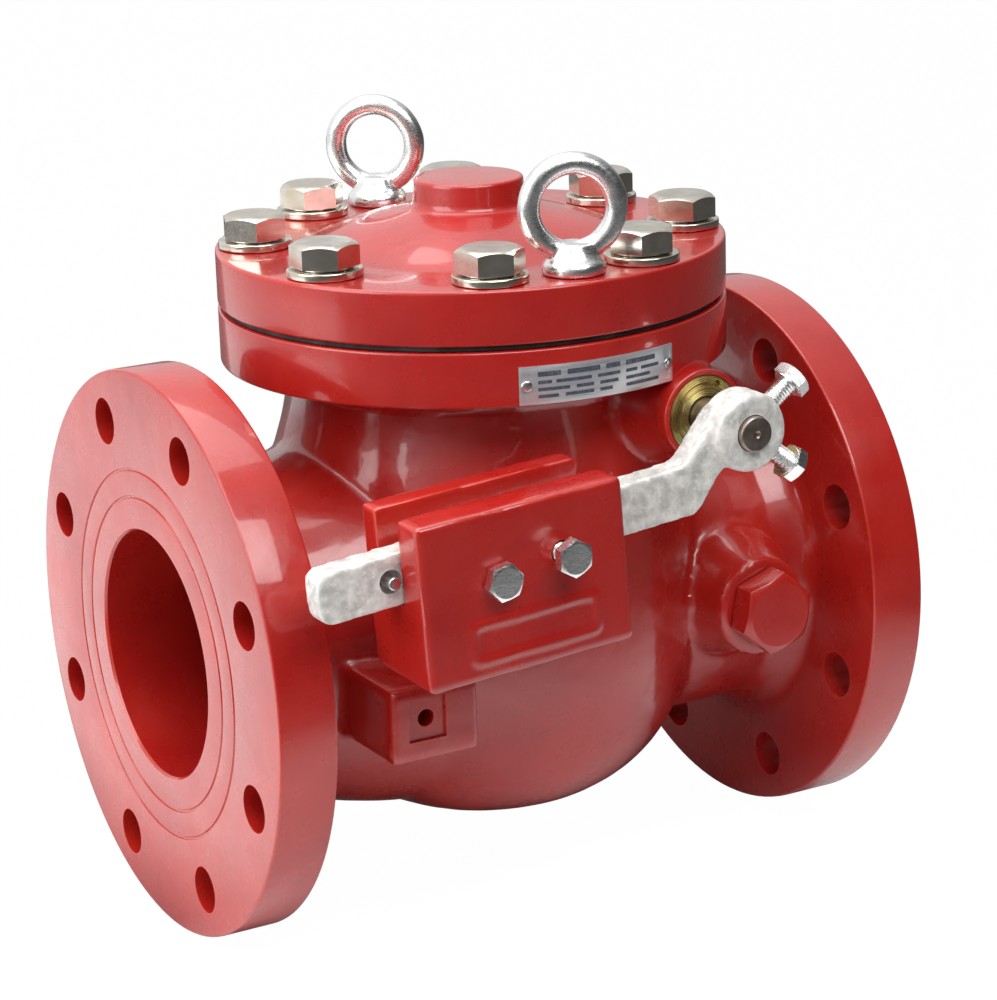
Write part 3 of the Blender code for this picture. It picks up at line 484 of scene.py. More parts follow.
class Nodes(Tree):
    """A material's node tree, with short ways to make its textures."""

    def __init__(self, name, colour, roughness, metallic=0.0, **sockets):
        self.material = bpy.data.materials.new(name)
        self.material.use_nodes = True
        self.material.diffuse_color = (*colour, 1.0)
        super().__init__(self.material.node_tree)
        self.shader = self.tree.nodes["Principled BSDF"]
        self.shader.inputs["Base Color"].default_value = (*colour, 1.0)
        self.shader.inputs["Roughness"].default_value = roughness
        self.shader.inputs["Metallic"].default_value = metallic
        for key, value in sockets.items():
            self.shader.inputs[key.replace("_", " ")].default_value = value
        self.where = self.node("TexCoord").outputs["Object"]

    def noise(self, scale, detail=3.0, roughness=0.55, where=None, distortion=0.0):
        links = {"Vector": where or self.where, "Scale": scale, "Detail": detail, "Roughness": roughness}
        return self.node("TexNoise", {**links, "Distortion": distortion}).outputs["Fac"]

    def stretched(self, scale):
        """The coordinates with each axis scaled on its own."""
        found = self.node("Mapping", {"Vector": self.where, "Scale": scale})
        return found.outputs["Vector"]

    def span(self, value, low, high, to_low=0.0, to_high=1.0):
        links = {"Value": value, "From Min": low, "From Max": high, "To Min": to_low, "To Max": to_high}
        return self.node("MapRange", links).outputs["Result"]

    def patches(self, scale, detail, low, high, to_low=0.0, to_high=1.0):
        """Noise, spread out between two of its values."""
        return self.span(self.noise(scale, detail), low, high, to_low, to_high)

    def math(self, operation, *values):
        made = self.node("Math", operation=operation)
        for socket, value in zip(made.inputs, values):
            self.feed(socket, value)
        return made.outputs["Value"]

    def times(self, first, second):
        return self.math("MULTIPLY", first, second)

    def mix(self, factor, first, second):
        made = self.node("Mix", data_type="RGBA")
        colours = [socket for socket in made.inputs if socket.type == "RGBA"]
        self.feed(made.inputs["Factor"], factor)
        for socket, colour in zip(colours, (first, second)):
            self.feed(socket, (*colour, 1.0) if isinstance(colour, tuple) else colour)
        return [socket for socket in made.outputs if socket.type == "RGBA"][0]

    def edges(self, radius):
        """1 on edges and 0 on flats: how far a rounded normal leaves the true one."""
        soft = self.node("Bevel", {"Radius": radius}, samples=4).outputs["Normal"]
        true = self.node("NewGeometry").outputs["Normal"]
        dot = self.node("VectorMath", {0: soft, 1: true}, operation="DOT_PRODUCT")
        return self.span(dot.outputs["Value"], 1.0, 0.90)

    def bump(self, height, distance, strength=1.0, under=None):
        links = {"Height": height, "Distance": distance, "Strength": strength}
        if under:
            links["Normal"] = under
        return self.node("Bump", links).outputs["Normal"]

    def colour(self, value):
        self.feed(self.shader.inputs["Base Color"], value)

    def roughness(self, value):
        self.feed(self.shader.inputs["Roughness"], value)

    def normal(self, value):
        self.feed(self.shader.inputs["Normal"], value)

    def skin(self, coarse, coarse_height, fine, fine_height):
        """A relief of coarse and fine noise, each in its own height."""
        heights = self.times(self.noise(*coarse), coarse_height), self.times(self.noise(*fine), fine_height)
        self.normal(self.bump(self.math("ADD", *heights), 0.001))


def enamel(name, grain, lumps):
    """Glossy red enamel: flow and orange peel in the gloss, thin bright paint and a painted highlight on the
    edges, grime.
    """
    made = Nodes(name, (0.40, 0.012, 0.009), 0.28, Coat_Weight=0.7, Coat_Roughness=0.05, Coat_IOR=1.5)
    cloud = made.patches(16.0, 4.0, 0.35, 0.68)
    tone = made.mix(cloud, (0.36, 0.009, 0.008), (0.47, 0.017, 0.010))
    specks = made.patches(420.0, 2.0, 0.66, 0.78)
    tone = made.mix(made.times(specks, 0.35), tone, (0.16, 0.006, 0.006))
    # Lighter edges: partly thin, worn paint and partly a painted highlight along the rounded edges.
    wear_and_edge_highlight = made.times(made.edges(0.0011), made.patches(70.0, 3.0, 0.30, 0.62, 0.25, 1.0))
    made.colour(made.mix(made.times(wear_and_edge_highlight, 0.75), tone, (0.70, 0.060, 0.030)))
    made.roughness(made.patches(55.0, 4.0, 0.3, 0.7, 0.20, 0.38))
    made.skin((95.0, 3.0), lumps, (620.0, 2.0), grain)
    return made.material


def plated(name, light, dark, roughness, tint=None, grain=0.03):
    """Plated or bright steel, with cloudy tone, fine scratches and duller patches."""
    made = Nodes(name, light, roughness[0], 1.0)
    cloud = made.patches(130.0, 4.0, 0.35, 0.66)
    tone = made.mix(cloud, dark, light)
    if tint:
        tone = made.mix(made.span(made.noise(60.0, 2.0, distortion=0.8), 0.45, 0.72, 0.0, 0.8), tone, tint)
    # Lighter edges: partly wear and partly a painted highlight along the edges.
    wear_and_edge_highlight = made.edges(0.0004)
    made.colour(made.mix(made.times(wear_and_edge_highlight, 0.5), tone, tuple(min(1.0, c * 1.25) for c in light)))
    scratches = made.noise(300.0, 3.0, where=made.stretched((1.0, 6.0, 6.0)))
    made.roughness(made.span(scratches, 0.3, 0.7, roughness[0], roughness[1]))
    made.normal(made.bump(made.times(made.noise(900.0, 3.0), grain), 0.001))
    return made.material


def galvanised():
    """A galvanised casting: pale zinc with soft spangle, darker blotches and a rough skin."""
    made = Nodes("galvanised", (0.70, 0.68, 0.64), 0.5, 0.15)
    cloud = made.span(made.noise(190.0, 4.0, 0.6), 0.34, 0.66)
    tone = made.mix(cloud, (0.50, 0.49, 0.46), (0.86, 0.84, 0.80))
    blotch = made.span(made.noise(75.0, 4.0, 0.65), 0.52, 0.68)
    tone = made.mix(made.times(blotch, 0.5), tone, (0.36, 0.37, 0.35))
    pale = made.patches(430.0, 3.0, 0.55, 0.70)
    tone = made.mix(made.times(pale, 0.6), tone, (0.95, 0.94, 0.91))
    # Nearly white edges: a painted highlight along the rounded edges of the casting.
    made.colour(made.mix(made.times(made.edges(0.0009), 0.7), tone, (0.97, 0.96, 0.93)))
    made.roughness(made.patches(240.0, 3.0, 0.3, 0.7, 0.34, 0.58))
    made.skin((150.0, 4.0, 0.6), 0.40, (750.0, 2.0), 0.10)
    return made.material


def turning_rings(made, scale, **middle):
    """Rings about the line where two of the coordinates have these values."""
    parts = made.node("SeparateXYZ", {"Vector": made.where}).outputs
    squares = [made.math("POWER", made.math("SUBTRACT", parts[k], value), 2.0) for k, value in middle.items()]
    return made.math("SINE", made.times(made.math("SQRT", made.math("ADD", *squares)), scale))


def chromate():
    """Yellow chromate on a turned disc: brassy green to brown, with rings about the shaft's axis."""
    made = Nodes("yellow_chromate", (0.50, 0.38, 0.12), 0.32, 1.0)
    tone = made.mix(made.patches(90.0, 3.0, 0.35, 0.65), (0.30, 0.19, 0.05), (0.62, 0.52, 0.20))
    made.colour(made.mix(made.patches(45.0, 2.0, 0.5, 0.7, 0.0, 0.6), tone, (0.40, 0.42, 0.20)))
    made.roughness(made.patches(200.0, 3.0, 0.3, 0.7, 0.22, 0.42))
    made.normal(made.bump(turning_rings(made, 2600.0 * math.pi, X=SHAFT_X, Z=SHAFT_Z), 0.00012))
    return made.material


def bronze():
    """Turned bronze, with fine rings about the pipe axis and brown tarnish."""
    made = Nodes("bronze", (0.55, 0.34, 0.14), 0.33, 1.0)
    tone = made.mix(made.patches(40.0, 4.0, 0.35, 0.68), (0.62, 0.40, 0.17), (0.36, 0.20, 0.08))
    made.colour(made.mix(made.times(made.edges(0.0006), 0.6), tone, (0.80, 0.58, 0.30)))
    made.roughness(made.patches(160.0, 3.0, 0.3, 0.7, 0.24, 0.46))
    made.normal(made.bump(turning_rings(made, 9000.0, Y=0.0, Z=0.0), 0.00008))
    return made.material


def rubber(name, colour, scale):
    """Matt sheet with a fine pressed grain and pale dust."""
    made = Nodes(name, colour, 0.75)
    dust = made.patches(80.0, 4.0, 0.50, 0.75)
    pale = tuple(c * 2.2 + 0.02 for c in colour)
    made.colour(made.mix(dust, colour, pale))
    made.roughness(made.patches(300.0, 2.0, 0.3, 0.7, 0.62, 0.88))
    made.normal(made.bump(made.times(made.noise(scale, 3.0), 0.15), 0.001))
    return made.material


def plate_metal():
    """Satin aluminium sheet, brushed along its length."""
    made = Nodes("plate", (0.74, 0.76, 0.79), 0.34, 0.75)
    brushed = made.noise(1400.0, 2.0, where=made.stretched((0.03, 0.03, 1.0)))
    made.colour(made.mix(brushed, (0.60, 0.63, 0.68), (0.86, 0.87, 0.89)))
    made.roughness(made.span(brushed, 0.3, 0.7, 0.26, 0.46))
    made.normal(made.bump(brushed, 0.00006))
    return made.material


def ink(name, colour):
    """Printed ink, a little uneven where the screen let less through."""
    made = Nodes(name, colour, 0.45)
    thin = made.patches(900.0, 3.0, 0.45, 0.75)
    made.colour(made.mix(thin, colour, tuple(c * 0.6 + 0.12 for c in colour)))
    made.roughness(made.patches(500.0, 2.0, 0.3, 0.7, 0.38, 0.60))
    return made.material


def studio(name, colour):
    """The pale floor. The camera sees a painted white glow, nearly shadowless; other rays see painted shade,
    dark patches under the valve and far out.
    """
    made = Nodes(name, colour, 0.6)
    parts = made.node("SeparateXYZ", {"Vector": made.where}).outputs
    away = made.node("VectorMath", {0: made.where}, operation="LENGTH").outputs["Value"]
    # Painted shade: the floor is darkened under the valve and far out, which darkens the valve's shaded parts
    # and reflections; the left and back stay pale.
    under = made.times(made.span(parts["Y"], -0.07, 0.0), made.span(parts["X"], 0.20, 0.15))
    dark = made.math("MAXIMUM", made.span(away, 0.28, 0.48), under)
    kept = made.math("MAXIMUM", made.span(parts["X"], -0.20, -0.13), made.span(parts["Y"], 0.0, -0.12))
    dark = made.times(dark, kept)
    paler = made.mix(made.noise(3.0, 3.0), colour, tuple(c * 0.985 for c in colour))
    made.colour(made.mix(dark, paler, tuple(c * 0.08 for c in colour)))
    # A painted glow: the camera sees the floor as near-white light, with its shade mostly hidden.
    glow = made.node("Emission", {"Strength": 1.06})
    seen = made.node("LightPath").outputs["Is Camera Ray"]
    blend = made.node(
        "MixShader",
        {0: made.times(seen, 0.93), 1: made.shader.outputs["BSDF"], 2: glow.outputs["Emission"]},
    )
    made.feed(made.tree.nodes["Material Output"].inputs["Surface"], blend.outputs["Shader"])
    return made.material


LOOKS = {
    "red_enamel": enamel("red_enamel", 0.030, 0.22),
    "red_machined": enamel("red_machined", 0.030, 0.05),
    "zinc": plated("zinc", (0.78, 0.74, 0.67), (0.58, 0.53, 0.46), (0.12, 0.26), (0.66, 0.56, 0.42), 0.006),
    "bright_zinc": plated("bright_zinc", (0.93, 0.93, 0.92), (0.78, 0.79, 0.80), (0.20, 0.36), None, 0.008),
    "bright_steel": plated("bright_steel", (0.82, 0.82, 0.84), (0.62, 0.62, 0.64), (0.16, 0.34), None, 0.006),
    "shaft_steel": plated("shaft_steel", (0.46, 0.40, 0.36), (0.26, 0.20, 0.17), (0.30, 0.50), None, 0.02),
    "galvanised": galvanised(),
    "yellow_chromate": chromate(),
    "bronze": bronze(),
    "rubber": rubber("rubber", (0.018, 0.018, 0.018), 700.0),
    "gasket": rubber("gasket", (0.030, 0.026, 0.026), 1100.0),
    "plate": plate_metal(),
    "ink": ink("ink", (0.05, 0.06, 0.09)),
}


# ---- pieces


def add(name, mesh, look, body, nodes=(), slot=None):
    """A shown piece in the row frame, on its body, standing for the CAD nodes."""
    mesh.name = name
    mesh.materials.clear()
    mesh.materials.append(LOOKS[look])
    if look == "red_enamel":
        mesh.materials.append(LOOKS["red_machined"])
    else:
        for face in mesh.polygons:
            face.material_index = 0
    mesh.shade_smooth()
    mesh.set_sharp_from_angle(angle=SHARP_ANGLE)
    made = linked(name, mesh)
    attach(made, body)
    if nodes:
        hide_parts(*nodes)


def swap(node, mesh, look, *places, **more):
    """Puts a finer piece, moved by the places, in a CAD node's place and on its body."""
    return add(node + "_shown", placed(mesh, *places), look, frame["nodes"][node]["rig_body"], (node,), **more)


def flange(sign):
    """A pipe flange with its fillet, which runs down inside the pipe end, and two gasket grooves."""
    profile = [(0.0, 0.090), (0.0640, 0.094), (0.0659, 0.109, 0.006), (0.0720, FLANGE_BACK_X, 0.0065)]
    profile += [(FLANGE_RADIUS, FLANGE_BACK_X, 0.0012), (FLANGE_RADIUS, END_X, 0.0012)]
    for radius in GROOVES:
        profile += [
            (radius + 0.0007, END_X, 0.0002), (radius + 0.0004, END_X - 0.0007, 0.0002),
            (radius - 0.0004, END_X - 0.0007, 0.0002), (radius - 0.0007, END_X, 0.0002),
        ]
    profile.append((0.0, END_X))
    points = [(radius, sign * x) for radius, x in rounded(profile)]
    return placed(turned(points, 128, slot=MACHINED), ALONG_X)


def body_blank():
    """The casting without its flanges, as one soft skin."""
    bowl = [
        *bowl_curve(BOWL_RADIUS, BOWL_BOTTOM, 20), (BOWL_RADIUS - 0.0005, 0.035, 0.012),
        (BOWL_RADIUS - 0.004, 0.058, 0.012), (NECK_RADIUS + 0.002, 0.080, 0.010),
        (NECK_RADIUS, 0.092, 0.008), (NECK_RADIUS, 0.118), (0.0, 0.118),
    ]
    run = [
        (0.0, -0.130), (PIPE_RADIUS, -0.130),
        *shoulder_curve(PIPE_RADIUS, SHOULDER_RADIUS, SHOULDER_START, SHOULDER_END, 14),
        (SHOULDER_RADIUS, 0.0), (PIPE_RADIUS, 0.040), (PIPE_RADIUS, 0.130), (0.0, 0.130),
    ]
    base = [(0.0, 0.0), (0.031, 0.0), (0.029, 0.062, 0.012)]
    front = [*base, (0.0215, 0.083, 0.008), (RING_RADIUS, 0.093, 0.006), (RING_RADIUS, 0.101), (0.0, 0.101)]
    rear = [*base, (0.0225, 0.081, 0.008), (BOSS_RADIUS, BOSS_END, 0.001), (0.0, BOSS_END)]
    plug = [(0.0, 0.0), (0.032, 0.0), (0.029, 0.060, 0.012), (PLUG_BOSS_RADIUS + 0.001, 0.076, 0.008)]
    plug += [(PLUG_BOSS_RADIUS, PLUG_BOSS_END, 0.0015), (0.0, PLUG_BOSS_END)]
    blank = join(
        placed(turned(bowl), NECK),
        placed(turned(run), ALONG_X),
        placed(turned(front, 64), SHAFT, ALONG_MINUS_Y),
        placed(turned(rear, 64), SHAFT, ALONG_Y),
        placed(turned(plug, 64), PLUG, ALONG_MINUS_Y),
        block(PAD_LOW, PAD_HIGH, bevel=0.0012, segments=2),
    )
    return ripple(ripple(cast(blank, 0.0018, 6), 0.00022, 38.0), 0.00008, 160.0)


def body_cutters():
    """Everything that is cut from the casting."""
    end = END_X + 0.002
    above = BONNET_TOP + 0.002
    inner = NECK_INNER_RADIUS
    chamber = [
        *bowl_curve(BOWL_RADIUS - WALL, BOWL_BOTTOM + WALL, 12), (BOWL_RADIUS - WALL - 0.001, 0.045),
        (inner + 0.004, 0.072), (inner, 0.088), (inner, above), (0.0, above),
    ]
    bulkhead = block((SEAT_FACE_X, -0.1, -0.1), (0.12, 0.1, BULKHEAD_TOP))
    chamber = cut(placed(turned(chamber, 72), NECK), bulkhead)
    mouth = BORE_RADIUS + 0.0008
    outlet = [(0.0, -end), (mouth, -end), (mouth, -END_X), (BORE_RADIUS, 0.001 - END_X)]
    outlet += shoulder_curve(BORE_RADIUS, SHOULDER_INNER_RADIUS, SHOULDER_START, SHOULDER_END, 12)
    outlet += [(SHOULDER_INNER_RADIUS, -0.030), (0.0, -0.030)]
    inlet = [
        (0.0, SEAT_FACE_X - 0.004), (SEAT_RECESS_RADIUS, SEAT_FACE_X - 0.004),
        (SEAT_RECESS_RADIUS, SEAT_BACK_X), (BORE_RADIUS, SEAT_BACK_X), (BORE_RADIUS, END_X - 0.001),
        (mouth, END_X), (mouth, end), (0.0, end),
    ]
    holes = (FLANGE_HOLE_CIRCLE, [22.5 + 45.0 * i for i in range(8)])
    back = FLANGE_BACK_X - 0.004
    stuffing = PACKING_RADIUS + GAP
    bore = BUSH_RADIUS + GAP
    shoulder = BUSH_END + GAP
    front = RING_END + 0.002
    counterbore = GLAND_RADIUS + GAP
    seat = GLAND_SEAT - GAP
    shaft_bore = [(0.0, -front), (counterbore, -front), (counterbore, -seat), (stuffing, -seat)]
    shaft_bore += [(stuffing, -shoulder), (bore, -shoulder), (bore, shoulder), (stuffing, shoulder)]
    shaft_bore += [(stuffing, front), (0.0, front)]
    return [
        chamber,
        placed(turned(outlet, 96, slot=CAST), ALONG_X),
        placed(turned(inlet, 96, slot=CAST), ALONG_X),
        placed(rods_on_circle(FLANGE_HOLE_RADIUS, back, end, *holes), ALONG_X),
        placed(rods_on_circle(FLANGE_HOLE_RADIUS, -end, -back, *holes), ALONG_X),
        placed(rods_on_circle(COVER_BOLT_RADIUS + GAP, BONNET_TOP - 0.017, above, *COVER_BOLTS), NECK),
        placed(turned(shaft_bore, 48, slot=MACHINED), SHAFT, ALONG_Y),
        placed(rod(SPOT_FACE_RADIUS, SPOT_FACE, BONNET_RADIUS + 0.004, 64), SHAFT, ALONG_Y),
        placed(rod(PLUG_RADIUS + GAP, 0.040, PLUG_BOSS_END + 0.004), PLUG, ALONG_MINUS_Y),
        placed(rod(PLUG_BOSS_RADIUS + 0.006, PLUG_BOSS_END, PLUG_BOSS_END + 0.010, 64), PLUG, ALONG_MINUS_Y),
        block(PAD_HOLE - PAD_RECESS, PAD_HOLE + PAD_RECESS, MACHINED),
        placed(rod(PAD_HOLE_RADIUS, 0.095, 0.110), shift(PAD_HOLE.x, 0.0, PAD_HOLE.z), ALONG_MINUS_Y),
        *rivet_holes(),
    ]


def rivet_holes():
    low, high = BONNET_RADIUS - 0.006, BONNET_RADIUS + 0.004
    return [placed(rod(RIVET_HOLE_RADIUS, low, high), radial(angle)) for angle in RIVET_ANGLES.values()]


def radial(angle):
    """Lays a piece modelled along Z along a radius of the bonnet flange, at the plate's height."""
    spot = shift(NECK_X, 0.0, PLATE_BOTTOM + PLATE_HEIGHT / 2)
    return spot @ aimed(spun(angle))


def build_body():
    bonnet = [
        (0.0, 0.080), (0.072, 0.080), (NECK_RADIUS - 0.001, 0.091), (NECK_RADIUS + 0.001, 0.0985, 0.004),
        (NECK_RADIUS + 0.006, BONNET_BOTTOM, 0.005), (BONNET_RADIUS, BONNET_BOTTOM, 0.0012),
        (BONNET_RADIUS, BONNET_TOP, 0.0010), (0.0, BONNET_TOP),
    ]
    ring = [(0.0, 0.090), (RING_RADIUS - 0.0009, 0.092), (RING_RADIUS, 0.097, 0.001)]
    ring += [(RING_RADIUS, RING_END, 0.0010), (0.0, RING_END)]
    casting = join(
        body_blank(), flange(1.0), flange(-1.0),
        placed(turned(bonnet, 128, slot=MACHINED), NECK),
        placed(turned(ring, 96, slot=MACHINED), SHAFT, ALONG_MINUS_Y),
    )
    swap("body", cut(casting, *body_cutters()), "red_enamel")


def build_nameplate():
    """A thin plate bent to the bonnet flange's rim, with printed bars and two domed rivets."""
    low, high = PLATE_ANGLES
    inner = BONNET_RADIUS + GAP
    outer = inner + PLATE_THICKNESS

    def strip(start, end, bottom, top, inside, outside, steps):
        outline = arc((0.0, 0.0), outside, start, end, steps) + arc((0.0, 0.0), inside, end, start, steps)
        return placed(prism(outline, bottom, top), NECK)

    plate = strip(low, high, PLATE_BOTTOM, PLATE_BOTTOM + PLATE_HEIGHT, inner, outer, 48)
    plate = evaluated(cut(plate, *rivet_holes()), ("BEVEL", {"width": 0.0002, "segments": 2}))
    swap("nameplate", plate, "plate")
    bars = []
    for height, tall, runs in PRINT:
        bottom = PLATE_BOTTOM + height - tall / 2
        for start, length in runs:
            ends = (low + start, low + start + length)
            bars.append(strip(*ends, bottom, bottom + tall, outer + 0.00002, outer + 0.00010, 8))
    add("nameplate_print", merged(bars), "ink", "valve_body", slot="plate")
    for name, angle in RIVET_ANGLES.items():
        head = [(0.0, 0.0985), (0.0012, 0.0985), (0.0012, outer + GAP), (0.0023, outer + GAP, 0.0003)]
        head += [(0.0021, outer + 0.0008, 0.0006), (0.0, outer + 0.0013)]
        swap(name, turned(head, 24), "bright_steel", radial(angle))


def merged(meshes):
    """Several separate meshes as one."""
    work = bmesh.new()
    for mesh in meshes:
        work.from_mesh(mesh)
    return finished(work)


def build_cover():
    """The domed cover with its flange and top boss, and the gasket under it."""
    top = [
        (0.061, COVER_BOTTOM), (BONNET_RADIUS, COVER_BOTTOM, 0.0010), (BONNET_RADIUS, COVER_TOP, 0.0016),
        (0.0690, COVER_TOP, 0.003), (0.0640, COVER_TOP + 0.0014, 0.004), (0.0450, COVER_TOP + 0.0080, 0.010),
        (0.0300, COVER_TOP + 0.0118, 0.008), (COVER_BOSS_RADIUS + 0.0006, COVER_TOP + 0.0136, 0.003),
        (COVER_BOSS_RADIUS, COVER_BOSS_TOP, 0.0016), (0.0, COVER_BOSS_TOP),
    ]
    hollow = [(0.0, 0.1525), (0.030, 0.1500, 0.01), (0.052, 0.1420, 0.008), (0.060, 0.1330, 0.004)]
    hollow.append((0.061, COVER_BOTTOM))
    eyes = (EYE_CIRCLE, [angle for angle, _ in EYES.values()])
    dome = cut(
        turned(rounded(hollow + top[1:], steps=5), 128),
        rods_on_circle(COVER_BOLT_HOLE, COVER_BOTTOM - 0.002, COVER_TOP + 0.002, *COVER_BOLTS),
        rods_on_circle(M10_HOLE, COVER_TOP - 0.017, COVER_TOP + 0.002, *eyes),
    )
    swap("cover", dome, "red_enamel", NECK)
    low = BONNET_TOP + GAP
    high = low + GASKET_THICKNESS
    edges = (NECK_INNER_RADIUS + 0.0005, BONNET_RADIUS - 0.0022)
    sheet = washer(*edges, low, high, 128, (0.0, 0.0003, 0.0003, 0.0))
    punched = rods_on_circle(COVER_BOLT_HOLE, low - 0.001, high + 0.001, *COVER_BOLTS)
    swap("cover_gasket", cut(sheet, punched), "gasket", NECK)


def bolt(radius, flats, head, tip, seat, pitch=0.0, segments=48):
    """A hexagon bolt about Z, its shank from tip to seat threaded if there is a pitch, its head chamfered."""
    apothem = flats / 2
    angles = [2 * math.pi * i / segments for i in range(segments)]
    corners = [apothem / math.cos(a % (math.pi / 3) - math.pi / 6) for a in angles]
    top = seat + head
    flat = apothem * 0.90
    start = tip + TIP_CHAMFER

    def level(reach, height):
        return [reach] * segments, [height] * segments

    rings = [level(radius - TIP_CHAMFER, tip)]
    if pitch:
        count = max(2, round((seat - tip) / pitch * 8))
        for i in range(count + 1):
            height = start + (seat - start) * i / count
            waves = [abs((height / pitch - a / (2 * math.pi)) % 1.0 - 0.5) * 2 for a in angles]
            rings.append(([radius - pitch * THREAD_DEPTH * wave for wave in waves], [height] * segments))
    else:
        rings += [level(radius, start), level(radius, seat)]
    rings += [
        level(apothem * 0.94, seat),
        level(apothem * 0.94, seat + 0.0004),
        (corners, [seat + 0.0006] * segments),
        (corners, [top - (reach - flat) * math.tan(HEAD_SLOPE) for reach in corners]),
        level(flat, top),
        level(flat * 0.97, top),
    ]
    work = bmesh.new()
    loops = [
        [work.verts.new((r * math.cos(a), r * math.sin(a), h)) for r, a, h in zip(reach, angles, heights)]
        for reach, heights in rings
    ]
    work.faces.new(reversed(loops[0]))
    work.faces.new(loops[-1])
    for low, high in zip(loops, loops[1:]):
        for i in range(segments):
            j = (i + 1) % segments
            work.faces.new((low[i], low[j], high[j], high[i]))
    return finished(work)


def build_cover_bolts():
    """Eight hexagon bolts with flat washers round the cover's flange."""
    low = COVER_TOP + GAP
    high = low + WASHER_THICKNESS
    for i, angle in enumerate(COVER_BOLT_ANGLES, 1):
        spot = NECK @ on_circle(COVER_BOLT_CIRCLE, angle)
        head = bolt(COVER_BOLT_RADIUS, 0.024, 0.010, COVER_BOLT_TIP, high + GAP)
        swap(f"cover_bolt_{i}", head, "zinc", spot, spun(17.0 * i))
        flat = washer(COVER_BOLT_HOLE, WASHER_RADIUS, low, high, 48, (0.0003, 0.0004, 0.0007, 0.0003))
        swap(f"cover_washer_{i}", flat, "zinc", spot)


def build_eyebolts():
    """Two drop-forged eyebolts: a ring that flows into a collar over a round base."""
    base = COVER_TOP + GAP
    for name, (angle, facing) in EYES.items():
        stalk = [
            (0.0, COVER_TOP - 0.016), (0.005, COVER_TOP - 0.016), (0.005, base), (0.0125, base, 0.0006),
            (0.0125, base + 0.0042, 0.0022), (0.0098, base + 0.0062, 0.002), (0.0082, base + 0.0092, 0.002),
            (0.0072, base + 0.0118), (0.0, base + 0.0118),
        ]
        section = arc((EYE_RING_RADIUS, 0.0), EYE_BAR_RADIUS, 0, 342, 19)
        lift = shift(z=COVER_TOP + EYE_RING_HEIGHT)
        ring = placed(turned(section, 72, ring=True), lift, spun(facing), ALONG_MINUS_Y)
        forged = ripple(cast(join(turned(stalk, 48), ring), 0.00075, 5), 0.00012, 220.0)
        swap(name, forged, "bright_zinc", NECK, on_circle(EYE_CIRCLE, angle), slot="bright_steel")


def build_seat_and_seals():
    """Seat ring, plugs, bushes, packing and gland."""
    rear = SEAT_BACK_X - GAP
    outer = SEAT_RECESS_RADIUS - GAP
    seat = [
        (BORE_RADIUS, rear, 0.0004), (BORE_RADIUS, SEAT_LIP_X, 0.0008), (0.0560, SEAT_LIP_X, 0.0006),
        (0.0575, 0.058, 0.0005), (outer, 0.058, 0.0004), (outer, rear, 0.0004),
    ]
    swap("seat_ring", turned(seat, 128, ring=True), "bronze", ALONG_X)
    plug = bolt(PLUG_RADIUS, PLUG_FLATS, 0.012, 0.060, PLUG_BOSS_END + GAP)
    plug = evaluated(plug, ("BEVEL", {"width": 0.0007, "segments": 3, "angle_limit": math.radians(28)}))
    swap("side_plug", plug, "red_enamel", PLUG, ALONG_MINUS_Y, spun(19.0))
    inner = SHAFT_RADIUS + GAP
    for node, along in (("front_bush", ALONG_MINUS_Y), ("rear_bush", ALONG_Y)):
        bush = washer(inner, BUSH_RADIUS, BUSH_START, BUSH_END, 48)
        swap(node, bush, "bronze", SHAFT, along)
    low = BUSH_END + 2 * GAP
    packing = washer(inner, PACKING_RADIUS, low, low + PACKING_LENGTH, 48)
    swap("shaft_packing", packing, "rubber", SHAFT, ALONG_MINUS_Y)
    low += PACKING_LENGTH + GAP
    gland = [
        (inner, low), (PACKING_RADIUS, low), (PACKING_RADIUS, GLAND_SEAT), (GLAND_RADIUS, GLAND_SEAT, 0.0003),
        (GLAND_RADIUS, GLAND_END, 0.0008), (0.0128, GLAND_END, 0.0003), (0.0124, GLAND_END - 0.0006, 0.0003),
        (0.0108, GLAND_END - 0.0006, 0.0003), (0.0104, GLAND_END, 0.0003), (inner, GLAND_END, 0.0004),
    ]
    disc = placed(turned(gland, 96, ring=True), SHAFT, ALONG_MINUS_Y)
    notches = []
    for k in range(2):
        notch = rod(0.0014, GLAND_END - 0.002, GLAND_END + 0.002, 24)
        notches.append(placed(notch, SHAFT, ALONG_MINUS_Y, spun(64 + 180 * k), shift(x=0.0132)))
    swap("gland", cut(disc, *notches), "yellow_chromate")
    low = SPOT_FACE + GAP
    high = low + SEAL_THICKNESS
    seal = washer(PACKING_RADIUS + GAP, SEAL_RADIUS, low, high, 64, (0.0, 0.0002, 0.0002, 0.0))
    swap("end_plug_seal", seal, "gasket", SHAFT, ALONG_Y)
    plug = bolt(PACKING_RADIUS, PLUG_FLATS, 0.009, 0.0835, high + GAP)
    swap("shaft_end_plug", plug, "zinc", SHAFT, ALONG_Y)


def keyway(low, high):
    """The slot of a key, along the top of the shaft's bore."""
    half = KEY_HALF + GAP
    corners = (-half, low - GAP, SHAFT_RADIUS - half), (half, high + GAP, SHAFT_RADIUS + half)
    return placed(block(*corners, MACHINED), SHAFT)


def build_shaft():
    """The shaft with its turned ends, and the two keys."""
    ends = [
        (0.0, SHAFT_FRONT + 0.0016), (0.0016, SHAFT_FRONT, 0.0001), (SHAFT_RADIUS, SHAFT_FRONT, 0.0011),
        (SHAFT_RADIUS, SHAFT_REAR, 0.0011), (0.0, SHAFT_REAR),
    ]
    bar = placed(turned(ends, 64), SHAFT, ALONG_Y)
    spans = {"arm_key": (-0.014, 0.014), "lever_key": (HUB_FRONT + KEY_COVER, HUB_REAR - 0.0005)}
    swap("shaft", cut(bar, *[keyway(*span) for span in spans.values()]), "shaft_steel", slot="bright_steel")
    for name, (low, high) in spans.items():
        corners = (-KEY_HALF, low, SHAFT_RADIUS - KEY_HALF), (KEY_HALF, high, SHAFT_RADIUS + KEY_HALF)
        swap(name, block(*corners, bevel=0.0003, segments=2), "bright_steel", SHAFT)


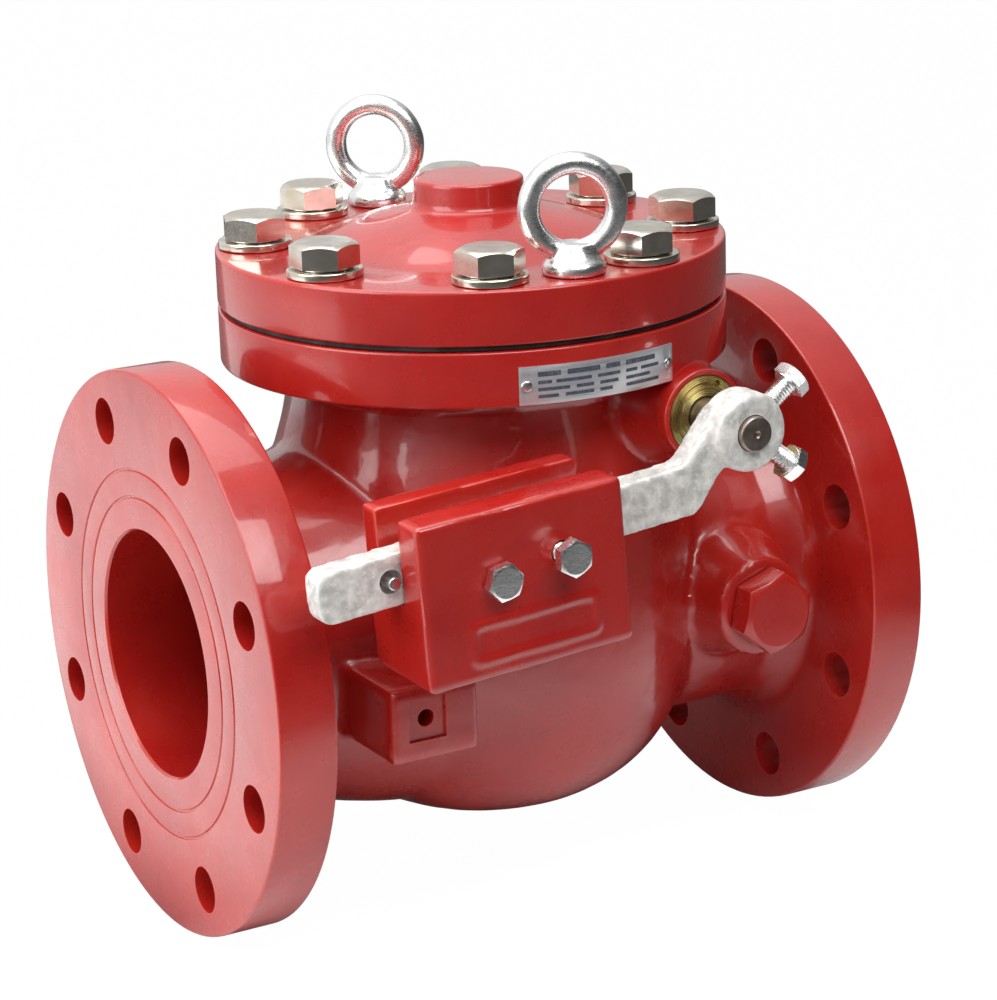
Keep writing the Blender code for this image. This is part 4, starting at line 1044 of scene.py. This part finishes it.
def build_arm():
    """The cast arm that carries the disc."""
    outline = [
        (-0.013, -SHAFT_Z), (0.013, -SHAFT_Z), (0.018, -0.004, 0.004), (0.012, 0.006, 0.003),
        (-0.012, 0.006, 0.003), (-0.018, -0.004, 0.004),
    ]
    face, rear, boss_end = (x - SHAFT_X for x in (ARM_FACE_X, ARM_REAR_X, ARM_BOSS_X))
    flat = prism([(-z, y) for y, z in rounded(outline, True)], face, rear)
    boss = rod(0.0165, face, boss_end, 64)
    drop = shift(z=-SHAFT_Z)
    arm = join(
        placed(rod(0.017, -0.020, 0.020, 64), SHAFT, ALONG_Y), placed(flat, SHAFT, ALONG_X),
        placed(boss, SHAFT, drop, ALONG_X),
    )
    arm = ripple(cast(arm, 0.0012, 4), 0.0001, 150.0)
    arm = cut(
        arm,
        placed(rod(SHAFT_RADIUS + GAP, -0.03, 0.03, 48), SHAFT, ALONG_Y),
        placed(rod(STEM_HOLE, -0.05, 0.01, 48), SHAFT, drop, ALONG_X),
        placed(rod(0.03, boss_end - SKIM, boss_end + 0.012, 64), SHAFT, drop, ALONG_X),
        placed(rod(0.02, -SHAFT_X, face + SKIM, 64), SHAFT, drop, ALONG_X),
        keyway(-0.03, 0.03),
    )
    swap("disc_arm", arm, "bronze")


def build_disc():
    """The disc on its stem, its rubber facing and plate, and the nut that holds it to the arm."""
    face = SEAT_LIP_X - 2 * GAP
    back = face - 0.004
    disc = [
        (0.0, -0.001), (0.008, -0.001, 0.001), (0.008, 0.0383, 0.0004), (0.014, 0.0383, 0.0005),
        (0.014, 0.0397, 0.0006), (0.030, 0.0397, 0.002), (0.040, 0.0405, 0.004), (0.050, 0.0397, 0.003),
        (DISC_RADIUS, 0.0400, 0.004), (DISC_RADIUS, back, 0.0006), (FACING_INNER - GAP, back, 0.0003),
        (FACING_INNER - GAP, face, 0.0003), (0.0, face),
    ]
    solid = placed(turned(disc, 96), ALONG_X)
    solid = cut(
        solid,
        placed(rod(M10_HOLE, 0.043, 0.070), ALONG_X),
        placed(rod(0.0018, -0.02, 0.02, 16), shift(x=PIN_X), ALONG_Y),
    )
    swap("disc", solid, "bronze")
    low = back + GAP
    sizes = (0.0, 0.0004, 0.0008, 0.0)
    facing = washer(FACING_INNER, FACING_RADIUS, low, face - GAP, 96, sizes)
    swap("disc_facing", facing, "rubber", ALONG_X)
    low = face + GAP
    high = low + FACING_PLATE_THICKNESS
    plate = washer(M10_HOLE, FACING_PLATE_RADIUS, low, high, 96, (0.0, 0.0003, 0.0012, 0.0003))
    swap("facing_plate", plate, "bronze", ALONG_X)
    screw = bolt(0.005, 0.016, 0.006, -0.0135, 0.0)
    swap("facing_screw", screw, "bright_steel", shift(x=high + GAP), ALONG_X)
    high = ARM_FACE_X - GAP
    low = high - 0.0025
    flat = washer(STEM_HOLE, 0.0145, low, high, 48, (0.0003, 0.0005, 0.0003, 0.0003))
    swap("disc_washer", flat, "bright_steel", ALONG_X)
    nut = placed(bolt(0.004, 0.024, 0.012, -0.001, 0.0), shift(x=low - GAP), ALONG_X, spun(180, "X"))
    tools = rod(STEM_HOLE, -0.01, 0.03, 48), rod(0.02, low - GAP, 0.03, 48)
    nut = cut(nut, *[placed(tool, ALONG_X) for tool in tools])
    swap("disc_nut", nut, "bronze")
    pin = [(0.0, -0.0125), (0.0015, -0.0125, 0.0003), (0.0015, 0.0125), (0.0, 0.0125)]
    eye = turned(arc((0.0026, 0.0), 0.0012, 0, 324, 9), 28, ring=True)
    eye = placed(eye, shift(z=0.0145), ALONG_X)
    swap("split_pin", join(turned(pin, 20), eye), "bright_steel", shift(x=PIN_X), ALONG_Y)


def build_lever():
    """The cranked lever with its hub, a rough galvanised casting with bored and drilled holes."""
    outline = [
        (LEVER_TIP, LEVER_LOW, 0.0060), (LEVER_TIP, LEVER_HIGH, 0.0060), (-0.0282, LEVER_HIGH, 0.0035),
        (-0.0138, 0.0077, 0.0030), (-0.0110, 0.0105), (0.0, 0.0130), (0.0120, -0.0080), (-0.0095, -0.0118),
        (-0.0125, -0.0135, 0.0015), (-0.0248, LEVER_LOW, 0.0030),
    ]
    flat = prism([(u, -w) for u, w in rounded(outline, True, 6)], LEVER_FRONT, LEVER_FRONT + LEVER_THICKNESS)
    hub = [(0.0, HUB_FRONT), (HUB_RADIUS, HUB_FRONT, 0.003), (HUB_RADIUS, HUB_REAR, 0.002), (0.0, HUB_REAR)]
    hub = turned(hub, 64)
    lever = join(placed(flat, LEVER, ALONG_Y), placed(hub, LEVER, ALONG_Y))
    lever = ripple(ripple(cast(lever, 0.0009, 7), 0.00018, 110.0), 0.00010, 420.0)
    pin_spot = shift(STOP_PIN_U, 0.0, LEVER_MIDDLE)
    outside = LEVER_FRONT - 0.01
    tools = [
        placed(rod(SHAFT_RADIUS + GAP, HUB_FRONT - 0.01, HUB_REAR + 0.01, 64), LEVER, ALONG_Y),
        placed(rod(STOP_PIN_RADIUS + GAP, outside, LEVER_FRONT + 0.03), LEVER, pin_spot, ALONG_Y),
        placed(rod(STOP_HOLE_RADIUS, outside, LEVER_FRONT + STOP_HOLE_DEPTH), LEVER, pin_spot, ALONG_Y),
        keyway(HUB_FRONT + KEY_COVER, HUB_REAR + 0.01),
    ]
    for name, angle in HUB_SCREWS.items():
        aim = aimed(spun(-angle, "Y"))
        spot = shift(y=HUB_SCREW_Y)
        tools.append(placed(rod(M8_HOLE, 0.006, 0.03), LEVER, spot, aim))
        screw = bolt(tip=SHAFT_RADIUS + GAP, seat=HUB_SCREW_SEAT, **M8)
        swap(name, screw, "bright_zinc", LEVER, spot, aim, slot="zinc")
    swap("lever", cut(lever, *tools), "galvanised")
    low = LEVER_FRONT - STOP_PIN_STAND
    high = LEVER_FRONT + LEVER_THICKNESS + 0.003
    radius = STOP_PIN_RADIUS
    pin = [(0.0, low), (radius, low, 0.0006), (radius, high, 0.0006), (0.0, high)]
    swap("stop_pin", turned(pin, 24), "bright_steel", LEVER, pin_spot, ALONG_Y)


def oblong(across, up, corner):
    signs = ((-1, -1), (1, -1), (1, 1), (-1, 1))
    return rounded([(i * across, j * up, corner) for i, j in signs], True)


def build_weight():
    """The slotted counterweight that straddles the bar, and the two bolts that clamp it."""
    long, tall = WEIGHT_HALF
    corners = (-long, WEIGHT_FRONT, -tall), (long, WEIGHT_REAR, tall)
    solid = placed(block(*corners, bevel=0.0018, segments=3), WEIGHT)
    across, up = BORDER_HALF
    border = prism(oblong(across, up, 0.003), -0.002, BORDER_RELIEF)
    inner = oblong(across - BORDER_WIDTH, up - BORDER_WIDTH, 0.0015)
    border = cut(border, prism(inner, -0.003, BORDER_RELIEF + 0.001))
    u, w = BORDER_MIDDLE
    spot = shift(u, WEIGHT_FRONT, w)
    solid = join(solid, placed(border, WEIGHT, spot, ALONG_MINUS_Y))
    left, right = WEIGHT_U - long - 0.01, WEIGHT_U + long + 0.01
    slot = block((left, SLOT_FRONT, SLOT_FLOOR), (right, SLOT_REAR, 0.02), CAST)
    weight = ripple(ripple(cast(cut(solid, slot), 0.0011, 3), 0.00018, 60.0), 0.00006, 240.0)
    tools = [block((left, SLOT_FRONT + SKIM, SLOT_FLOOR), (right, SLOT_REAR, 0.001), CAST)]
    for name, (u, w, stand) in WEIGHT_BOLTS.items():
        seat = -WEIGHT_FRONT + GAP + stand
        tip = -LEVER_FRONT + GAP
        spot = shift(u, 0.0, w)
        tools.append(placed(rod(WEIGHT_BOLT_HOLE, tip - 0.003, -WEIGHT_FRONT + 0.01), spot, ALONG_MINUS_Y))
        own = spun(24.0 if stand else 8.0)
        head = bolt(tip=tip, seat=seat, **M8)
        swap(name, head, "bright_zinc", LEVER, spot, ALONG_MINUS_Y, own, slot="zinc")
    swap("counterweight", cut(weight, *tools), "red_enamel", LEVER)


build_body()
build_nameplate()
build_cover()
build_cover_bolts()
build_eyebolts()
build_seat_and_seals()
build_shaft()
build_arm()
build_disc()
build_lever()
build_weight()


# ---- studio


def build_studio():
    top = -FLANGE_RADIUS - 0.0002
    floor = rod(FLOOR_RADIUS, top - 0.02, top, 96, 0)
    floor.materials.append(studio("floor", (0.86, 0.86, 0.86)))
    ground = linked("floor", floor)
    build_world()
    for name, (spot, size, power) in LIGHTS.items():
        lamp = bpy.data.lights.new(name, "AREA")
        lamp.shape = "RECTANGLE"
        lamp.size, lamp.size_y = size
        lamp.energy = power
        made = linked(name, lamp)
        made.location = spot
        made.rotation_euler = (LIGHT_TARGET - Vector(spot)).to_track_quat("-Z", "Y").to_euler()


def build_world():
    """Bright behind, above and to the left, and dark on the camera's side; plain white when seen."""
    world = bpy.data.worlds.new("studio")
    bpy.context.scene.world = world
    world.use_nodes = True
    made = Tree(world.node_tree)
    where = made.node("TexCoord").outputs["Generated"]
    dot = made.node("VectorMath", {0: where, 1: BRIGHT_SIDE.normalized()}, operation="DOT_PRODUCT")
    limits = {"From Min": -0.45, "From Max": 0.85, "To Min": 0.05, "To Max": 0.95}
    ramp = made.node("MapRange", {"Value": dot.outputs["Value"], **limits}, interpolation_type="SMOOTHSTEP")
    white = (1.0, 1.0, 1.0, 1.0)
    tent = made.tree.nodes["Background"]
    made.feed(tent.inputs["Color"], white)
    made.feed(tent.inputs["Strength"], ramp.outputs["Result"])
    seen = made.node("Background", {"Color": white})
    ray = made.node("LightPath").outputs["Is Camera Ray"]
    blend = made.node("MixShader", {0: ray, 1: tent.outputs[0], 2: seen.outputs[0]})
    made.feed(made.tree.nodes["World Output"].inputs["Surface"], blend.outputs[0])


def build_camera():
    azimuth, elevation, roll = (math.radians(angle) for angle in CAMERA_ANGLES)
    level = math.cos(elevation)
    back = Vector((math.sin(azimuth) * level, -math.cos(azimuth) * level, math.sin(elevation)))
    right = Vector((0.0, 0.0, 1.0)).cross(back).normalized()
    up = back.cross(right)
    across = math.cos(roll) * right + math.sin(roll) * up
    upright = -math.sin(roll) * right + math.cos(roll) * up
    lens = bpy.data.cameras.new("camera")
    lens.sensor_fit = "VERTICAL"
    lens.sensor_height = 36.0
    lens.lens = CAMERA_LENS
    lens.clip_start = 0.01
    camera = linked("camera", lens)
    camera.matrix_world = shift(*CAMERA_SPOT) @ Matrix((across, upright, back)).transposed().to_4x4()
    bpy.context.scene.camera = camera


build_studio()
build_camera()
bpy.context.scene.view_settings.view_transform = "Standard"
